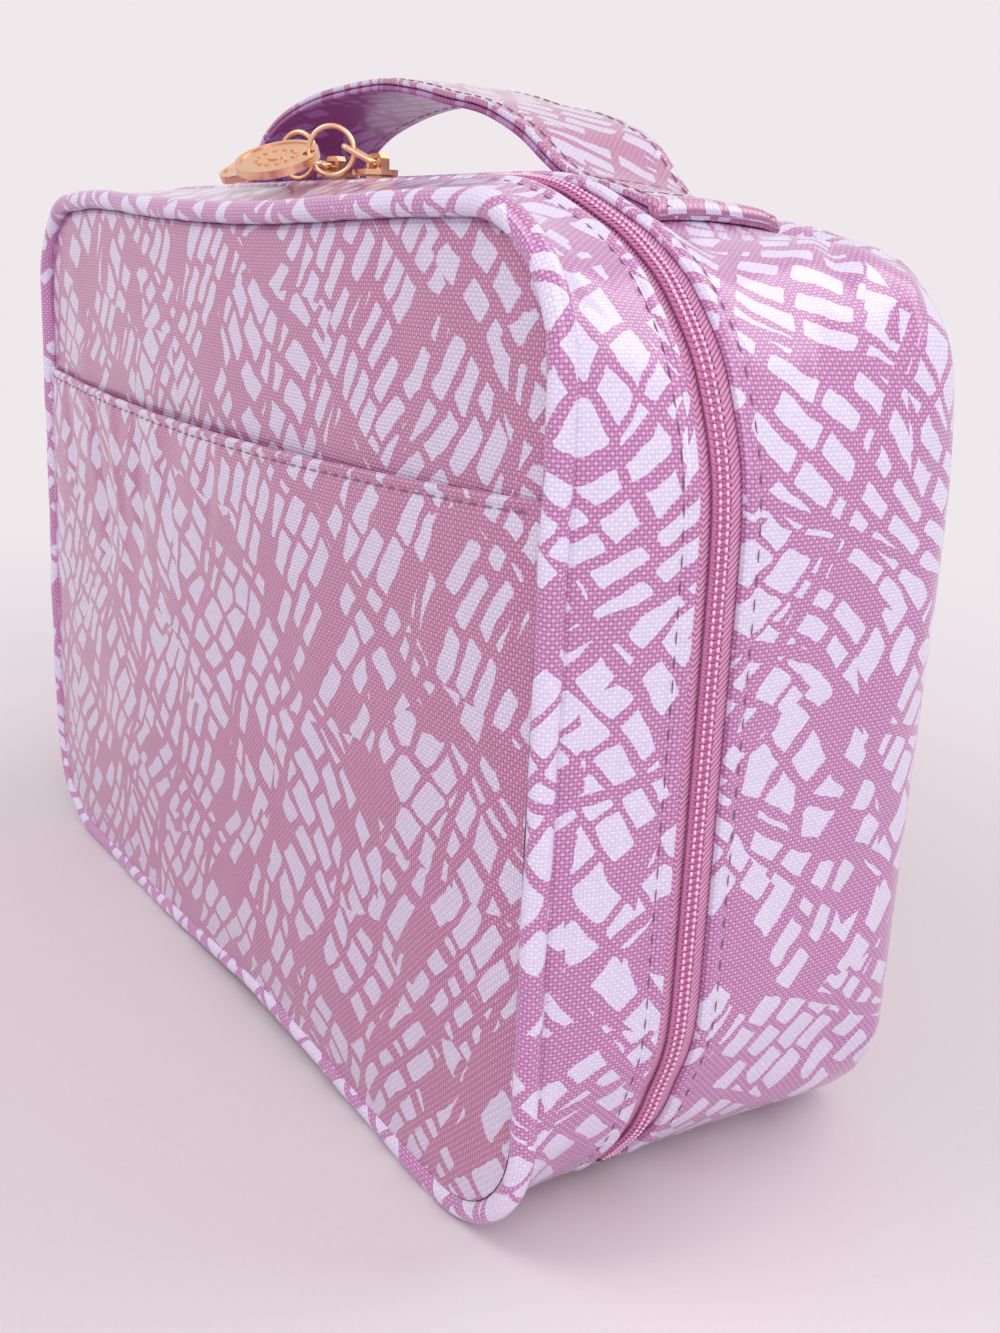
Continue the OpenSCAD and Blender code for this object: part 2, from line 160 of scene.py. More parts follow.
# the soft corners sink in between the seams: middle along the outline, half-width, depth
sunkenCorners = [(320.0, 30.0, 12.1), (143.0, 19.0, 7.0), (582.0, 28.0, 9.5), (757.0, 19.0, 6.5)]
footHollow = {"along": 350.0, "before": 28.0, "after": 34.0, "depth": 5.6}
drawnCorner = {"along": 325.0, "width": 30.0, "depth": 6.9}     # the rear seam, upper right


def sinking(s, y):
    # how far the cloth sinks at the corners, and in the hollow where the strap's right foot is sewn
    total = sum(depth * dent(s, middle, width) for middle, width, depth in sunkenCorners)
    away = y - case["zipY"]
    share = 1 - (away / np.where(away < 0, 32, 61)) ** 2
    width = np.where(s < footHollow["along"], footHollow["before"], footHollow["after"])
    hollow = footHollow["depth"] * bump(s, footHollow["along"], width)
    hollow = hollow * smooth((y + 13) / 13) * smooth((45 - y) / 8)
    drawn = drawnCorner["depth"] * dent(s, drawnCorner["along"], drawnCorner["width"])
    return total * np.clip(share, 0, 1) + hollow + drawn * smooth((y - 30) / 18.6)


def section(s, y):
    # how far the outer cloth stands from the corner's centre line
    dirX, dirZ = outlineBase(s)[2:]
    side = dirX ** 2
    under = np.clip(-dirZ, 0, 1) ** 2
    depth = case["seamDepth"]
    y = np.clip(y, -depth, depth)
    front = np.sqrt(bowRadius ** 2 - y ** 2) - bowRadius + case["bow"]
    power = 2.0 + 4.5 * side
    rear = case["bow"] * (1 - (np.abs(y) / depth) ** power)
    shape = np.where(y > 0, (1 - side) * front + side * rear, front) / case["bow"]
    amount = case["bow"] * (1 - under) + case["bottomBow"] * under
    pull = (case["rearPull"] * side + 0.8 * (1 - side)) * (np.clip(y, 0, depth) / depth) ** 13
    inner = smooth((depth - np.abs(y)) / 12) * smooth(np.abs(y - case["zipY"]) / 14 - 0.35)
    soft = 0.55 * waves(s, y, 95, 1.3) * inner * (1 - 0.5 * under)
    s = np.mod(s, outlineLength)
    creases = creaseHeight(s, y, gussetCreases) * inner
    return case["cornerRadius"] + amount * shape - pull + soft + creases - sinking(s, y)


def settle(p):
    # the whole case leans in a little at its upper left and sags along its front edges
    x, y, z = p[..., 0], p[..., 1], p[..., 2]
    left = np.clip(-x / 138, 0, 1) ** 4
    x = x + 5.5 * left * smooth((z - 40) / 130)
    nearFront = smooth((-y - 26) / 22)
    top = smooth((z - 165) / 30)
    z = z - nearFront * top * (2.0 * bump(x, 18, 55) - 1.8 * bump(x, -85, 30))
    arch = bump(x, 25, 50) * np.clip(1 - z / 80, 0, 1) ** 2
    z = z + arch * (1.2 + 3.0 * nearFront)
    return np.stack([x, y, z], -1)


def bagPoint(s, y, off):
    s, y, off = np.broadcast_arrays(np.asarray(s, float), np.asarray(y, float), np.asarray(off, float))
    baseX, baseZ, dirX, dirZ = outlineBase(s)
    out = section(s, y) + off
    return settle(np.stack([baseX + dirX * out, y, baseZ + dirZ * out], -1))


# making meshes

def unit(v):
    return v / np.linalg.norm(v, axis=-1, keepdims=True)


def running(gaps):
    # distances from the first point, from the gaps between points
    return np.concatenate([[0], np.cumsum(gaps)])


def gridPart(points, uv, wrapRows=False, wrapCols=False):
    # quads through a grid of points; uv has one more row or column where the grid closes
    rows, cols = points.shape[:2]
    i, j = np.meshgrid(np.arange(rows if wrapRows else rows - 1),
                       np.arange(cols if wrapCols else cols - 1), indexing="ij")
    i, j = i.ravel(), j.ravel()
    i2, j2 = (i + 1) % rows, (j + 1) % cols
    quads = np.stack([i * cols + j, i * cols + j2, i2 * cols + j2, i2 * cols + j], -1)
    corners = np.stack([uv[i, j], uv[i, j + 1], uv[i + 1, j + 1], uv[i + 1, j]], 1)
    return points.reshape(-1, 3), quads, corners.reshape(-1, 2)


def makePiece(name, parts, material, body, replaces=()):
    verts, faces, uvs, count = [], [], [], 0
    for points, quads, corners in parts:
        verts.append(points)
        faces.append(quads + count)
        uvs.append(corners)
        count += len(points)
    mesh = bpy.data.meshes.new(name)
    mesh.from_pydata((np.concatenate(verts) * mm).tolist(), [], np.concatenate(faces).tolist())
    layer = mesh.uv_layers.new(name="UVMap")
    layer.data.foreach_set("uv", (np.concatenate(uvs) * mm).ravel())
    work = bmesh.new()
    work.from_mesh(mesh)
    bmesh.ops.remove_doubles(work, verts=work.verts, dist=2e-7)
    bmesh.ops.recalc_face_normals(work, faces=work.faces)
    work.to_mesh(mesh)
    work.free()
    mesh.polygons.foreach_set("use_smooth", [True] * len(mesh.polygons))
    mesh.materials.append(material)
    mesh.update()
    piece = bpy.data.objects.new(name, mesh)
    bpy.context.collection.objects.link(piece)
    if body:
        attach(piece, body)
    if replaces:
        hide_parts(*replaces)
    return piece


def uvGrid(alongValues, acrossValues):
    return np.stack(np.meshgrid(alongValues, acrossValues), -1)


def closedSteps(step):
    return np.linspace(0, outlineLength, int(outlineLength / step) + 1)


def sweep(profile, s, closed=False, relief=None):
    # carries a closed profile of (y, off) points along the outline
    loop = np.asarray([*profile, profile[0]], float)
    length = running(np.hypot(*np.diff(loop, axis=0).T))
    y, off, places = np.broadcast_arrays(loop[:-1, :1], loop[:-1, 1:], s[:-1] if closed else s)
    if relief is not None:
        off = off + relief(places, y, off)
    return gridPart(bagPoint(places, y, off), uvGrid(s, length), True, closed)


def stripProfile(y, top, thick):
    # out along the top of a flat strip, and back below it
    return [(a, top) for a in y] + [(a, top - thick) for a in y[::-1]]


def sweepRound(profile, step, relief=None):
    return sweep(profile, closedSteps(step), True, relief)


def tubePart(centre, radius, sides):
    # a round tube along a list of points
    tangent = unit(np.gradient(centre, axis=0))
    sideways = np.cross(tangent, [0.13, 0.31, 0.94])
    weak = np.linalg.norm(sideways, axis=1) < 0.15
    sideways[weak] = np.cross(tangent[weak], [0.94, 0.1, 0.3])
    sideways = unit(sideways)
    upward = np.cross(sideways, tangent)
    turn = np.linspace(0, 2 * math.pi, sides, endpoint=False)[:, None, None]
    points = centre + radius * (np.cos(turn) * sideways + np.sin(turn) * upward)
    along = running(np.linalg.norm(np.diff(centre, axis=0), axis=1))
    around = np.linspace(0, 2 * math.pi * radius, sides + 1)
    return gridPart(points, uvGrid(along, around), True)


def stitchPart(centres, along, normals, size):
    # many small raised threads; size is (half length, half width, half height)
    rings, sides = 6, 6
    t = np.linspace(-1, 1, rings)[:, None]
    turn = np.linspace(0, 2 * math.pi, sides, endpoint=False)
    girth = np.sqrt(np.clip(1.04 - t ** 2, 0.03, 1))
    template = np.stack([np.repeat(t, sides, 1), girth * np.cos(turn), girth * np.sin(turn)], -1) * size
    thread, quads, corners = gridPart(template, np.stack(np.mgrid[:rings, :sides + 1], -1) * 0.5, False, True)
    frames = np.stack([along, np.cross(normals, along), normals], 1)
    points = centres[:, None] + np.einsum("pk,nkc->npc", thread, frames)
    starts = np.arange(len(centres))[:, None, None] * len(thread)
    return points.reshape(-1, 3), (quads + starts).reshape(-1, 4), np.tile(corners, (len(centres), 1))


def surfaceFrame(point, a, b, step=0.5):
    # place, direction along a, and normal of a surface given as a function
    along = unit(point(a + step, b) - point(a - step, b))
    across = unit(point(a, b + step) - point(a, b - step))
    return point(a, b), along, unit(np.cross(along, across))


def stitchRow(s, y, lift, size, sunk=0.0):
    # a row of threads round the case at one depth, facing outward
    here, along, normal = surfaceFrame(lambda a, b: bagPoint(a, b, lift), s, np.full_like(s, y))
    outward = np.sign((normal * (here - [0, 0, case["middleHigh"]])).sum(-1, keepdims=True))
    return stitchPart(here - normal * outward * sunk, along, normal * outward, size)


print("shapes ready")

# materials

ownPlace, uvPlace = 3, 2        # outputs of the texture coordinate node


def screen(red, green, blue):
    # a colour as seen on a screen, turned into the shader's linear values
    values = np.array([red, green, blue]) / 255
    linear = np.where(values < 0.04045, values / 12.92, ((values + 0.055) / 1.055) ** 2.4)
    return (*linear.tolist(), 1.0)


class Nodes:
    # short ways to add nodes to a material or to the world
    def __init__(self, owner):
        owner.use_nodes = True
        self.owner = owner
        self.tree = owner.node_tree

    def join(self, value, socket):
        if isinstance(value, bpy.types.NodeSocket):
            self.tree.links.new(value, socket)
        else:
            socket.default_value = value[:3] if socket.type == "VECTOR" else value

    def add(self, kind, inputs=None, out=0, **choices):
        item = self.tree.nodes.new("ShaderNode" + kind)
        for key, value in choices.items():
            setattr(item, key, value)
        for key, value in (inputs or {}).items():
            self.join(value, item.inputs[key])
        return item.outputs[out]

    def calc(self, operation, a, b=0.0, c=0.0):
        return self.add("Math", {0: a, 1: b, 2: c}, operation=operation)

    def mix(self, amount, a, b):
        return self.add("Mix", {0: amount, 6: a, 7: b}, out=2, data_type="RGBA")

    def blend(self, amount, a, b):
        return self.add("Mix", {0: amount, 2: a, 3: b}, data_type="FLOAT")

    def turn(self, place, degrees):
        return self.add("VectorRotate", {"Vector": place, "Angle": math.radians(degrees)},
                        rotation_type="Z_AXIS")

    def grain(self, scale, detail, place=ownPlace):
        where = self.add("TexCoord", out=place)
        return self.add("TexNoise", {"Vector": where, "Scale": scale, "Detail": detail})

    def shade(self, colour, light):
        return self.add("VectorMath", {0: colour, 3: light}, operation="SCALE")

    def bump(self, depth, height, strength=1.0):
        return self.add("Bump", {"Strength": strength, "Distance": depth * mm, "Height": height})

    def seen(self):
        # 1 for what the camera sees, straight or through metal or glass
        path = self.add("LightPath").node
        mirrored = self.calc("MAXIMUM", path.outputs["Is Glossy Ray"], path.outputs["Is Transmission Ray"])
        return self.calc("MAXIMUM", path.outputs["Is Camera Ray"], mirrored)

    def finish(self, **inputs):
        for key, value in inputs.items():
            self.join(value, self.tree.nodes["Principled BSDF"].inputs[key.replace("_", " ")])
        return self.owner


def startMaterial(name, **settings):
    nodes = Nodes(bpy.data.materials.new(name))
    nodes.finish(**settings)
    return nodes


def clothPlace(nodes, pitch):
    # place on the cloth in yarns: whole yarns and the part of a yarn, both ways
    split = nodes.add("SeparateXYZ", {0: nodes.add("TexCoord", out=uvPlace)}).node
    places = []
    for axis in (0, 1):
        yarns = nodes.calc("DIVIDE", split.outputs[axis], pitch * mm)
        places.append((nodes.calc("FLOOR", yarns), nodes.calc("FRACT", yarns)))
    return places


def weave(nodes, places, twill=False):
    # height of an over-and-under weave, and which of the two yarns lies on top
    calc = nodes.calc
    (wholeU, partU), (wholeV, partV) = places
    count = calc("ADD", wholeU, wholeV)
    if twill:
        count = calc("MULTIPLY", calc("FLOORED_MODULO", count, 4), 0.5)
        over = calc("GREATER_THAN", count, 0.9)
    else:
        over = calc("PINGPONG", count, 1)
    crestU, crestV = (calc("SINE", calc("MULTIPLY", part, math.pi)) for part in (partU, partV))
    heightU = calc("MULTIPLY", crestU, calc("MULTIPLY_ADD", crestV, 0.4, 0.6))
    heightV = calc("MULTIPLY", crestV, calc("MULTIPLY_ADD", crestU, 0.4, 0.6))
    return nodes.blend(over, heightV, heightU), over


# the print, in millimetres and degrees: slanting blocks are (angle, width, length) and the plain bands
# between them (angle, period, width)
printed = {"drift": 12.0, "wobble": 1.8, "gapLeast": 1.3, "gapMost": 3.1, "square": 8.7, "squareTurn": 33,
           "squaresLost": 0.17, "kept": 0.86, "corner": 0.8, "patch": 40, "rightward": (38, 6.3, 13.0),
           "leftward": (-50, 8.0, 11.0), "bands": [(24, 29.0, 2.7), (-58, 37.0, 3.2)]}


def slantedBlocks(nodes, place, gap, angle, width, length):
    # slanting rows of short blocks with rounded corners
    add, calc = nodes.add, nodes.calc
    split = add("SeparateXYZ", {0: nodes.turn(place, angle)}).node
    column = calc("DIVIDE", split.outputs[0], width)
    number = calc("FLOOR", column)
    shift = add("TexWhiteNoise", {"W": number}, noise_dimensions="1D")
    row = calc("ADD", calc("DIVIDE", split.outputs[1], length), calc("MULTIPLY", shift, 7.0))
    chance = add("TexWhiteNoise", {"Vector": add("CombineXYZ", {0: number, 1: calc("FLOOR", row)})})
    corner = printed["corner"]
    outside = []
    for value, size in ((column, width), (row, length)):
        away = calc("ABSOLUTE", calc("SUBTRACT", calc("FRACT", value), 0.5))
        edge = calc("MULTIPLY_ADD", gap, 0.5, corner - size / 2)
        past = calc("MAXIMUM", calc("MULTIPLY_ADD", away, size, edge), 0.0)
        outside.append(calc("MULTIPLY", past, past))
    block = calc("LESS_THAN", calc("ADD", *outside), corner ** 2)
    return calc("MULTIPLY", block, calc("LESS_THAN", chance, printed["kept"]))


def squareBlocks(nodes, place, gap):
    # squarish blocks, each cell of an uneven grid drawn in from its edges
    size = printed["square"]
    cells = {"Vector": nodes.turn(place, printed["squareTurn"]), "Scale": 1 / size, "Randomness": 0.38}
    edge = nodes.add("TexVoronoi", cells, feature="DISTANCE_TO_EDGE")
    chance = nodes.add("SeparateColor", {0: nodes.add("TexVoronoi", cells, out=1)})
    apart = nodes.calc("GREATER_THAN", edge, nodes.calc("DIVIDE", gap, 2 * size))
    return nodes.calc("MULTIPLY", apart, nodes.calc("GREATER_THAN", chance, printed["squaresLost"]))


def blockPrint(nodes, places, pitch, patches):
    # a print of squarish and long blocks that slant differently from patch to patch
    add, calc = nodes.add, nodes.calc
    across, along = (calc("MULTIPLY", calc("ADD", whole, part), pitch) for whole, part in places)
    place = add("CombineXYZ", {0: across, 1: along})
    moved = place
    for reach, scale, detail in ((printed["drift"], 0.03, 0.0), (printed["wobble"], 0.2, 1.0)):
        shift = add("TexNoise", {"Vector": place, "Scale": scale, "Detail": detail}, out=1)
        moved = add("VectorMath", {0: shift, 1: (reach, reach, 0.0), 2: moved}, operation="MULTIPLY_ADD")
    slow = add("TexNoise", {"Vector": place, "Scale": 0.045, "Detail": 1.0})
    gap = add("MapRange", {0: slow, 1: 0.3, 2: 0.7, 3: printed["gapLeast"], 4: printed["gapMost"]})
    squares = squareBlocks(nodes, moved, gap)
    rightward = slantedBlocks(nodes, moved, gap, *printed["rightward"])
    leftward = slantedBlocks(nodes, moved, gap, *printed["leftward"])
    patch = add("TexVoronoi", {"Vector": moved, "Scale": 1 / printed["patch"], "Randomness": 1.0}, out=1)
    choice = add("SeparateColor", {0: patch}, out=1)
    blocks = nodes.blend(calc("GREATER_THAN", choice, patches[0]), squares, rightward)
    blocks = nodes.blend(calc("GREATER_THAN", choice, patches[1]), blocks, leftward)
    for angle, period, width in printed["bands"]:
        lane = calc("FRACT", calc("DIVIDE", add("SeparateXYZ", {0: nodes.turn(moved, angle)}), period))
        blocks = calc("MULTIPLY", blocks, calc("GREATER_THAN", lane, width / period))
    return blocks


def laminatedCloth(name, ground, block, patches=(0.34, 0.7), coat=1.0, tint=1.0):
    # basket-woven cloth, printed, under a clear glossy film; ground and block are each (low, raised): the low
    # colour is painted shade between the yarns and the raised one a painted highlight on their crests
    nodes = startMaterial(name, Roughness=0.5, Specular_IOR_Level=0.35, Coat_Weight=coat,
                          Coat_Roughness=0.13, Coat_IOR=1.5)
    calc, mix = nodes.calc, nodes.mix
    pitch = 0.78
    places = clothPlace(nodes, pitch)
    height, over = weave(nodes, places)
    raised = calc("MULTIPLY", height, calc("MULTIPLY_ADD", over, 0.45, 0.55))
    mask = blockPrint(nodes, places, pitch, patches)
    # yarn crests get the painted highlight, the gaps between yarns the painted shade
    colour = mix(mask, mix(raised, *ground), mix(raised, *block))
    yarn = nodes.add("CombineXYZ", {0: places[0][0], 1: places[1][0]})
    chance = nodes.add("TexWhiteNoise", {"Vector": yarn})
    shaded = nodes.shade(colour, calc("MULTIPLY_ADD", chance, 0.08 * tint, 0.96 * tint))
    film = calc("ADD", calc("MULTIPLY", height, 0.35), nodes.grain(420.0, 2.0, uvPlace))
    return nodes.finish(Base_Color=shaded, Normal=nodes.bump(0.12, height),
                        Coat_Normal=nodes.bump(0.035, film))


def plainCloth(name, colour, pitch, rough=0.7, twill=False, depth=0.08, contrast=0.4):
    nodes = startMaterial(name, Roughness=rough, Specular_IOR_Level=0.3, Sheen_Weight=0.3)
    height, over = weave(nodes, clothPlace(nodes, pitch), twill)
    # yarn crests painted lighter and the gaps between yarns darker: painted highlight and shade
    light = nodes.calc("ADD", nodes.calc("MULTIPLY", height, contrast), 1 - 0.6 * contrast)
    return nodes.finish(Base_Color=nodes.shade(colour, light), Normal=nodes.bump(depth, height))


def herringbone(name, low, high):
    # slanting ribs that turn back at every stripe
    rib, stripe = 1.15, 2.7
    nodes = startMaterial(name, Roughness=0.6, Specular_IOR_Level=0.3, Sheen_Weight=0.2)
    calc = nodes.calc
    split = nodes.add("SeparateXYZ", {0: nodes.add("TexCoord", out=uvPlace)}).node
    along = calc("DIVIDE", split.outputs[0], mm)
    across = calc("PINGPONG", calc("DIVIDE", split.outputs[1], mm), stripe)
    height = calc("PINGPONG", calc("DIVIDE", calc("ADD", along, across), rib), 0.5)
    crest = calc("SMOOTH_MIN", calc("MULTIPLY", height, 3.0), 1.0, 0.4)
    # rib crests painted lighter and the grooves between ribs darker: painted highlight and shade
    return nodes.finish(Base_Color=nodes.mix(crest, low, high), Normal=nodes.bump(0.2, crest))


def grained(nodes, colour, scale, contrast, depth):
    # one colour made a little lighter and darker by a fine grain, which is raised as well
    grain = nodes.grain(scale, 2.0)
    light = nodes.calc("MULTIPLY_ADD", grain, contrast, 1 - contrast / 2)
    return nodes.finish(Base_Color=nodes.shade(colour, light), Normal=nodes.bump(depth, grain))


def twistedThread(name, colour):
    nodes = startMaterial(name, Roughness=0.45, Specular_IOR_Level=0.4, Sheen_Weight=0.2)
    return grained(nodes, colour, scale=2600.0, contrast=0.5, depth=0.05)


def glossPlastic(name, colour):
    nodes = startMaterial(name, Roughness=0.28, Specular_IOR_Level=0.5, Subsurface_Weight=0.15,
                          Subsurface_Radius=(0.002, 0.001, 0.001))
    return grained(nodes, colour, scale=900.0, contrast=0.2, depth=0.01)


def platedMetal(name, colour, rough):
    nodes = startMaterial(name, Metallic=1.0)
    smudge = nodes.grain(260.0, 3.0)
    stretched = nodes.add("Mapping", {0: nodes.add("TexCoord", out=ownPlace), 3: (900, 5200, 900)})
    scratch = nodes.add("TexNoise", {"Vector": stretched, "Detail": 2.0})
    shaded = nodes.shade(colour, nodes.calc("MULTIPLY_ADD", smudge, 0.16, 0.92))
    roughness = nodes.calc("MULTIPLY_ADD", smudge, 0.16, rough - 0.05)
    return nodes.finish(Base_Color=shaded, Roughness=roughness, Normal=nodes.bump(0.006, scratch))


def foamMaterial():
    nodes = startMaterial("foam", Roughness=0.9, Specular_IOR_Level=0.2)
    pores = nodes.add("TexVoronoi", {"Vector": nodes.add("TexCoord", out=ownPlace), "Scale": 1500.0})
    # pore hollows painted darker than the cell walls: painted shade
    grey = nodes.mix(pores, screen(214, 208, 200), screen(240, 237, 230))
    return nodes.finish(Base_Color=grey, Normal=nodes.bump(0.12, pores))


def boardMaterial():
    nodes = startMaterial("board", Roughness=0.75, Specular_IOR_Level=0.25)
    fibre = nodes.grain(700.0, 5.0)
    grey = nodes.mix(fibre, screen(62, 62, 64), screen(104, 103, 102))
    return nodes.finish(Base_Color=grey, Normal=nodes.bump(0.05, fibre))


def vinylMaterial():
    nodes = startMaterial("clearVinyl", Roughness=0.06, Transmission_Weight=0.0, Alpha=0.22,
                          Coat_Weight=1.0, Coat_Roughness=0.05)
    ripple = nodes.grain(60.0, 1.0)
    tint = nodes.mix(ripple, screen(232, 238, 245), screen(246, 248, 250))
    return nodes.finish(Base_Color=tint, Normal=nodes.bump(0.3, ripple))


def meshMaterial():
    # open net: the holes are cut by the material, the threads keep their own colour
    nodes = startMaterial("net", Roughness=0.55, Sheen_Weight=0.2)
    cells = {"Vector": nodes.add("TexCoord", out=uvPlace), "Scale": 620.0, "Randomness": 0.12}
    holes = nodes.add("TexVoronoi", cells, feature="DISTANCE_TO_EDGE")
    threads = nodes.mix(holes, screen(150, 84, 112), screen(206, 140, 168))
    return nodes.finish(Base_Color=threads, Alpha=nodes.calc("LESS_THAN", holes, 0.17),
                        Normal=nodes.bump(0.1, holes, 0.6))


# each pair is (painted shade between the yarns, painted highlight on the yarn crests)
pinkYarn = (screen(148, 74, 122), screen(244, 168, 210))
paleYarn = (screen(208, 190, 228), screen(250, 242, 255))
# the print's colours made lighter and bluer: painted light of the cool lamp on the case's right side
coolLitYarn = (screen(150, 84, 140), screen(244, 178, 230))
coolLitPale = (screen(220, 206, 238), screen(242, 236, 255))
# the print's colours made darker: painted shade of the strap's underside
shadedPinkYarn = (screen(112, 44, 96), screen(176, 96, 160))
shadedPaleYarn = (screen(150, 96, 150), screen(196, 150, 200))
cloth = {
    "print": laminatedCloth("printedCloth", pinkYarn, paleYarn, tint=0.94),
    # piping and gussets wear the cool-lit copy of the print: painted light
    "piping": laminatedCloth("pipingCloth", coolLitYarn, coolLitPale, patches=(0.35, 0.6), tint=1.03),
    "side": laminatedCloth("coolLitSideCloth", coolLitYarn, coolLitPale),
    "handle": laminatedCloth("handleCloth", pinkYarn, paleYarn, patches=(0.62, 0.8), tint=0.91),
    # the strap's underside wears the darkened copy of the print: painted shade
    "under": laminatedCloth("shadedUnderCloth", shadedPinkYarn, shadedPaleYarn, patches=(0.6, 0.8), coat=0.5, tint=1.2),
    "tape": herringbone("tapeCloth", screen(184, 106, 156), screen(242, 174, 214)),
    "lining": plainCloth("liningCloth", screen(226, 186, 204), 0.22, rough=0.42, twill=True, depth=0.03,
                         contrast=0.2),
    "binding": plainCloth("bindingCloth", screen(176, 96, 136), 0.75, contrast=0.5),
    "cord": plainCloth("cordCloth", screen(236, 234, 228), 1.0, twill=True, depth=0.25, contrast=0.35),
    "stitch": twistedThread("mauveThread", screen(140, 88, 126)),
    # dark dots beside the zip coil: sewing made dark as painted shade in the groove by the coil
    "holes": twistedThread("plumSewingShade", screen(132, 60, 104)),
    "zipStitch": twistedThread("roseThread", screen(255, 206, 236)),
    "coil": glossPlastic("coilPlastic", screen(202, 122, 168)),
    "foam": foamMaterial(),
    "board": boardMaterial(),
    "vinyl": vinylMaterial(),
    "net": meshMaterial(),
    "gold": platedMetal("warmGold", screen(236, 190, 150), 0.24),
    "nickel": platedMetal("nickelPlate", screen(208, 204, 198), 0.3),
}
print("materials ready")

# outer cloth

seam = {"frontGap": 2.6, "rearGap": 1.4, "pitch": 4.5, "thread": (1.75, 0.15, 0.15), "foldLine": 3.5,
        "pocketLine": 2.4}


shells = (("front", -1, "front_cover"), ("rear", 1, "rear_case"))     # name, side of the case, body


def groove(along, across, line, depth=0.42, width=0.9):
    # the dip that a row of stitches pulls, deepest at each stitch's ends
    beat = 0.62 + 0.38 * np.cos(2 * math.pi * along / seam["pitch"])
    return -depth * beat * np.exp(-((across - line) / width) ** 2)


def gussetPiece(front, side, body):
    # the edge at the zip is turned under
    fold = case[front + "Fold"]
    start = side * (case["seamDepth"] - seam[front + "Gap"])
    toward = -side
    bend = 0.8
    line = fold - toward * seam["foldLine"]
    spots = [start]
    while (fold - toward * bend - spots[-1]) * toward > 0.8:
        near = abs(spots[-1] - line) < 3
        spots.append(spots[-1] + toward * (0.45 if near else 1.5))
    profile = [(y, 0.0) for y in spots]
    for turn in np.linspace(0, math.pi, 7):
        profile.append((fold - toward * bend * (1 - math.sin(turn)), -bend * (1 - math.cos(turn))))
    profile += [(fold - toward * 5, -1.6)]
    profile += [(y, -1.4) for y in np.linspace(fold - toward * 5.6, start, 30)]

    def relief(s, y, off):
        puckers = groove(s, y, line)
        plump = 0.45 * bump(np.abs(y - fold), 1.6, 1.5)
        ridge = 0.3 * bump(np.abs(y), case["seamDepth"] - 5.2, 1.3)
        return (puckers + plump + ridge) * (off > -0.6)

    part = sweepRound(profile, 0.75, relief)
    # the gusset cloth is the cool-lit copy of the print: painted light
    makePiece(front + "GussetCloth", [part], cloth["side"], body, [front + "_gusset"])
    row = stitchRow(np.arange(0, outlineLength, seam["pitch"]), line, 0, seam["thread"], sunk=0.2)
    makePiece(front + "GussetClothStitches", [row], cloth["stitch"], body)


for shell in shells:
    gussetPiece(*shell)


def roundTheSeam(y, off, radius, sides, wander=0.0, lumps=0.0, step=1.5):
    # a cord that follows the outline at one depth
    s = closedSteps(step)[:-1]
    dirX, dirZ = outlineBase(s)[2:]
    centre = bagPoint(s, y, off)
    centre[:, 1] += wander * np.sin(s / 19) * np.sin(s / 7.3)
    outward = np.stack([dirX, 0 * s, dirZ], -1)
    thick = radius * (1 + lumps * waves(s, 0 * s, 14, 0.4))
    turn = np.linspace(0, 2 * math.pi, sides, endpoint=False)[:, None, None]
    ring = np.cos(turn) * np.array([0, 1, 0]) + np.sin(turn) * outward
    points = centre + ring * thick[:, None]
    around = np.linspace(0, 2 * math.pi * radius, sides + 1)
    return gridPart(points, uvGrid(np.append(s, outlineLength), around), True, True)


piping = {"y": 50.6, "off": -0.2, "radius": 2.55, "cord": 1.45}


def pipingPieces(front, side, body):
    y = side * piping["y"]
    skin = roundTheSeam(y, piping["off"], piping["radius"], 22, 0.18, 0.035)
    makePiece(front + "PipingCloth", [skin], cloth["piping"], body, [front + "_piping"])
    core = roundTheSeam(y, piping["off"], piping["cord"], 14)
    makePiece(front + "PipingCore", [core], cloth["cord"], body, [front + "_piping_cord"])


for shell in shells:
    pipingPieces(*shell)

panel = {"inset": 2.7, "thick": 1.4, "rings": 46, "bulge": 1.5, "printFrom": 300}


def panelDepth(x, z, extra=0.0):
    # how far out the cloth of the front or rear panel stands, from the middle of the case
    across = np.clip(1 - (x / 137) ** 2, 0, 1)
    up = np.clip(1 - ((z - case["middleHigh"]) / 99) ** 2, 0, 1)
    full = np.sqrt(across * up)
    return case["seamDepth"] + extra + panel["bulge"] * smooth(full * 1.15) - 0.7


def discPart(y, inset, depthAt, thick, rings):
    # a closed slab filling the outline; depthAt gives the outer face's distance from the middle
    s = closedSteps(3.0)
    baseX, baseZ, dirX, dirZ = outlineBase(s)
    out = section(s, np.full_like(s, y)) - inset
    edgeX, edgeZ = baseX + dirX * out, baseZ + dirZ * out
    reach = np.concatenate([np.linspace(0, 1, rings), np.linspace(1, 0, rings)])[:, None]
    x = edgeX * reach
    z = case["middleHigh"] + (edgeZ - case["middleHigh"]) * reach
    inner = np.repeat([0.0, thick], rings)[:, None]
    points = settle(np.stack([x, math.copysign(1, y) * (depthAt(x, z) - inner), z], -1))
    uv = np.stack([x, z], -1) + panel["printFrom"]
    return gridPart(points[:, :-1], uv, False, True)


def frontDepth(x, z):
    soft = 0.5 * waves(x, z, 80, 2.1)
    folds = -0.7 * bump(x + 0.2 * z, 120, 9) + 0.5 * bump(x + 0.25 * z, -62, 8)
    fade = smooth((130 - np.abs(x)) / 14) * smooth((196 - z) / 10) * smooth((z - 142) / 12)
    behindPocket = 1.2 * smooth((147 - z) / 9)
    return panelDepth(x, z) + (soft + folds) * fade - behindPocket


def rearDepth(x, z):
    fade = smooth((126 - np.abs(x)) / 16) * smooth((194 - z) / 14)
    return panelDepth(x, z) + 0.6 * waves(x, z, 95, 4.2) * fade


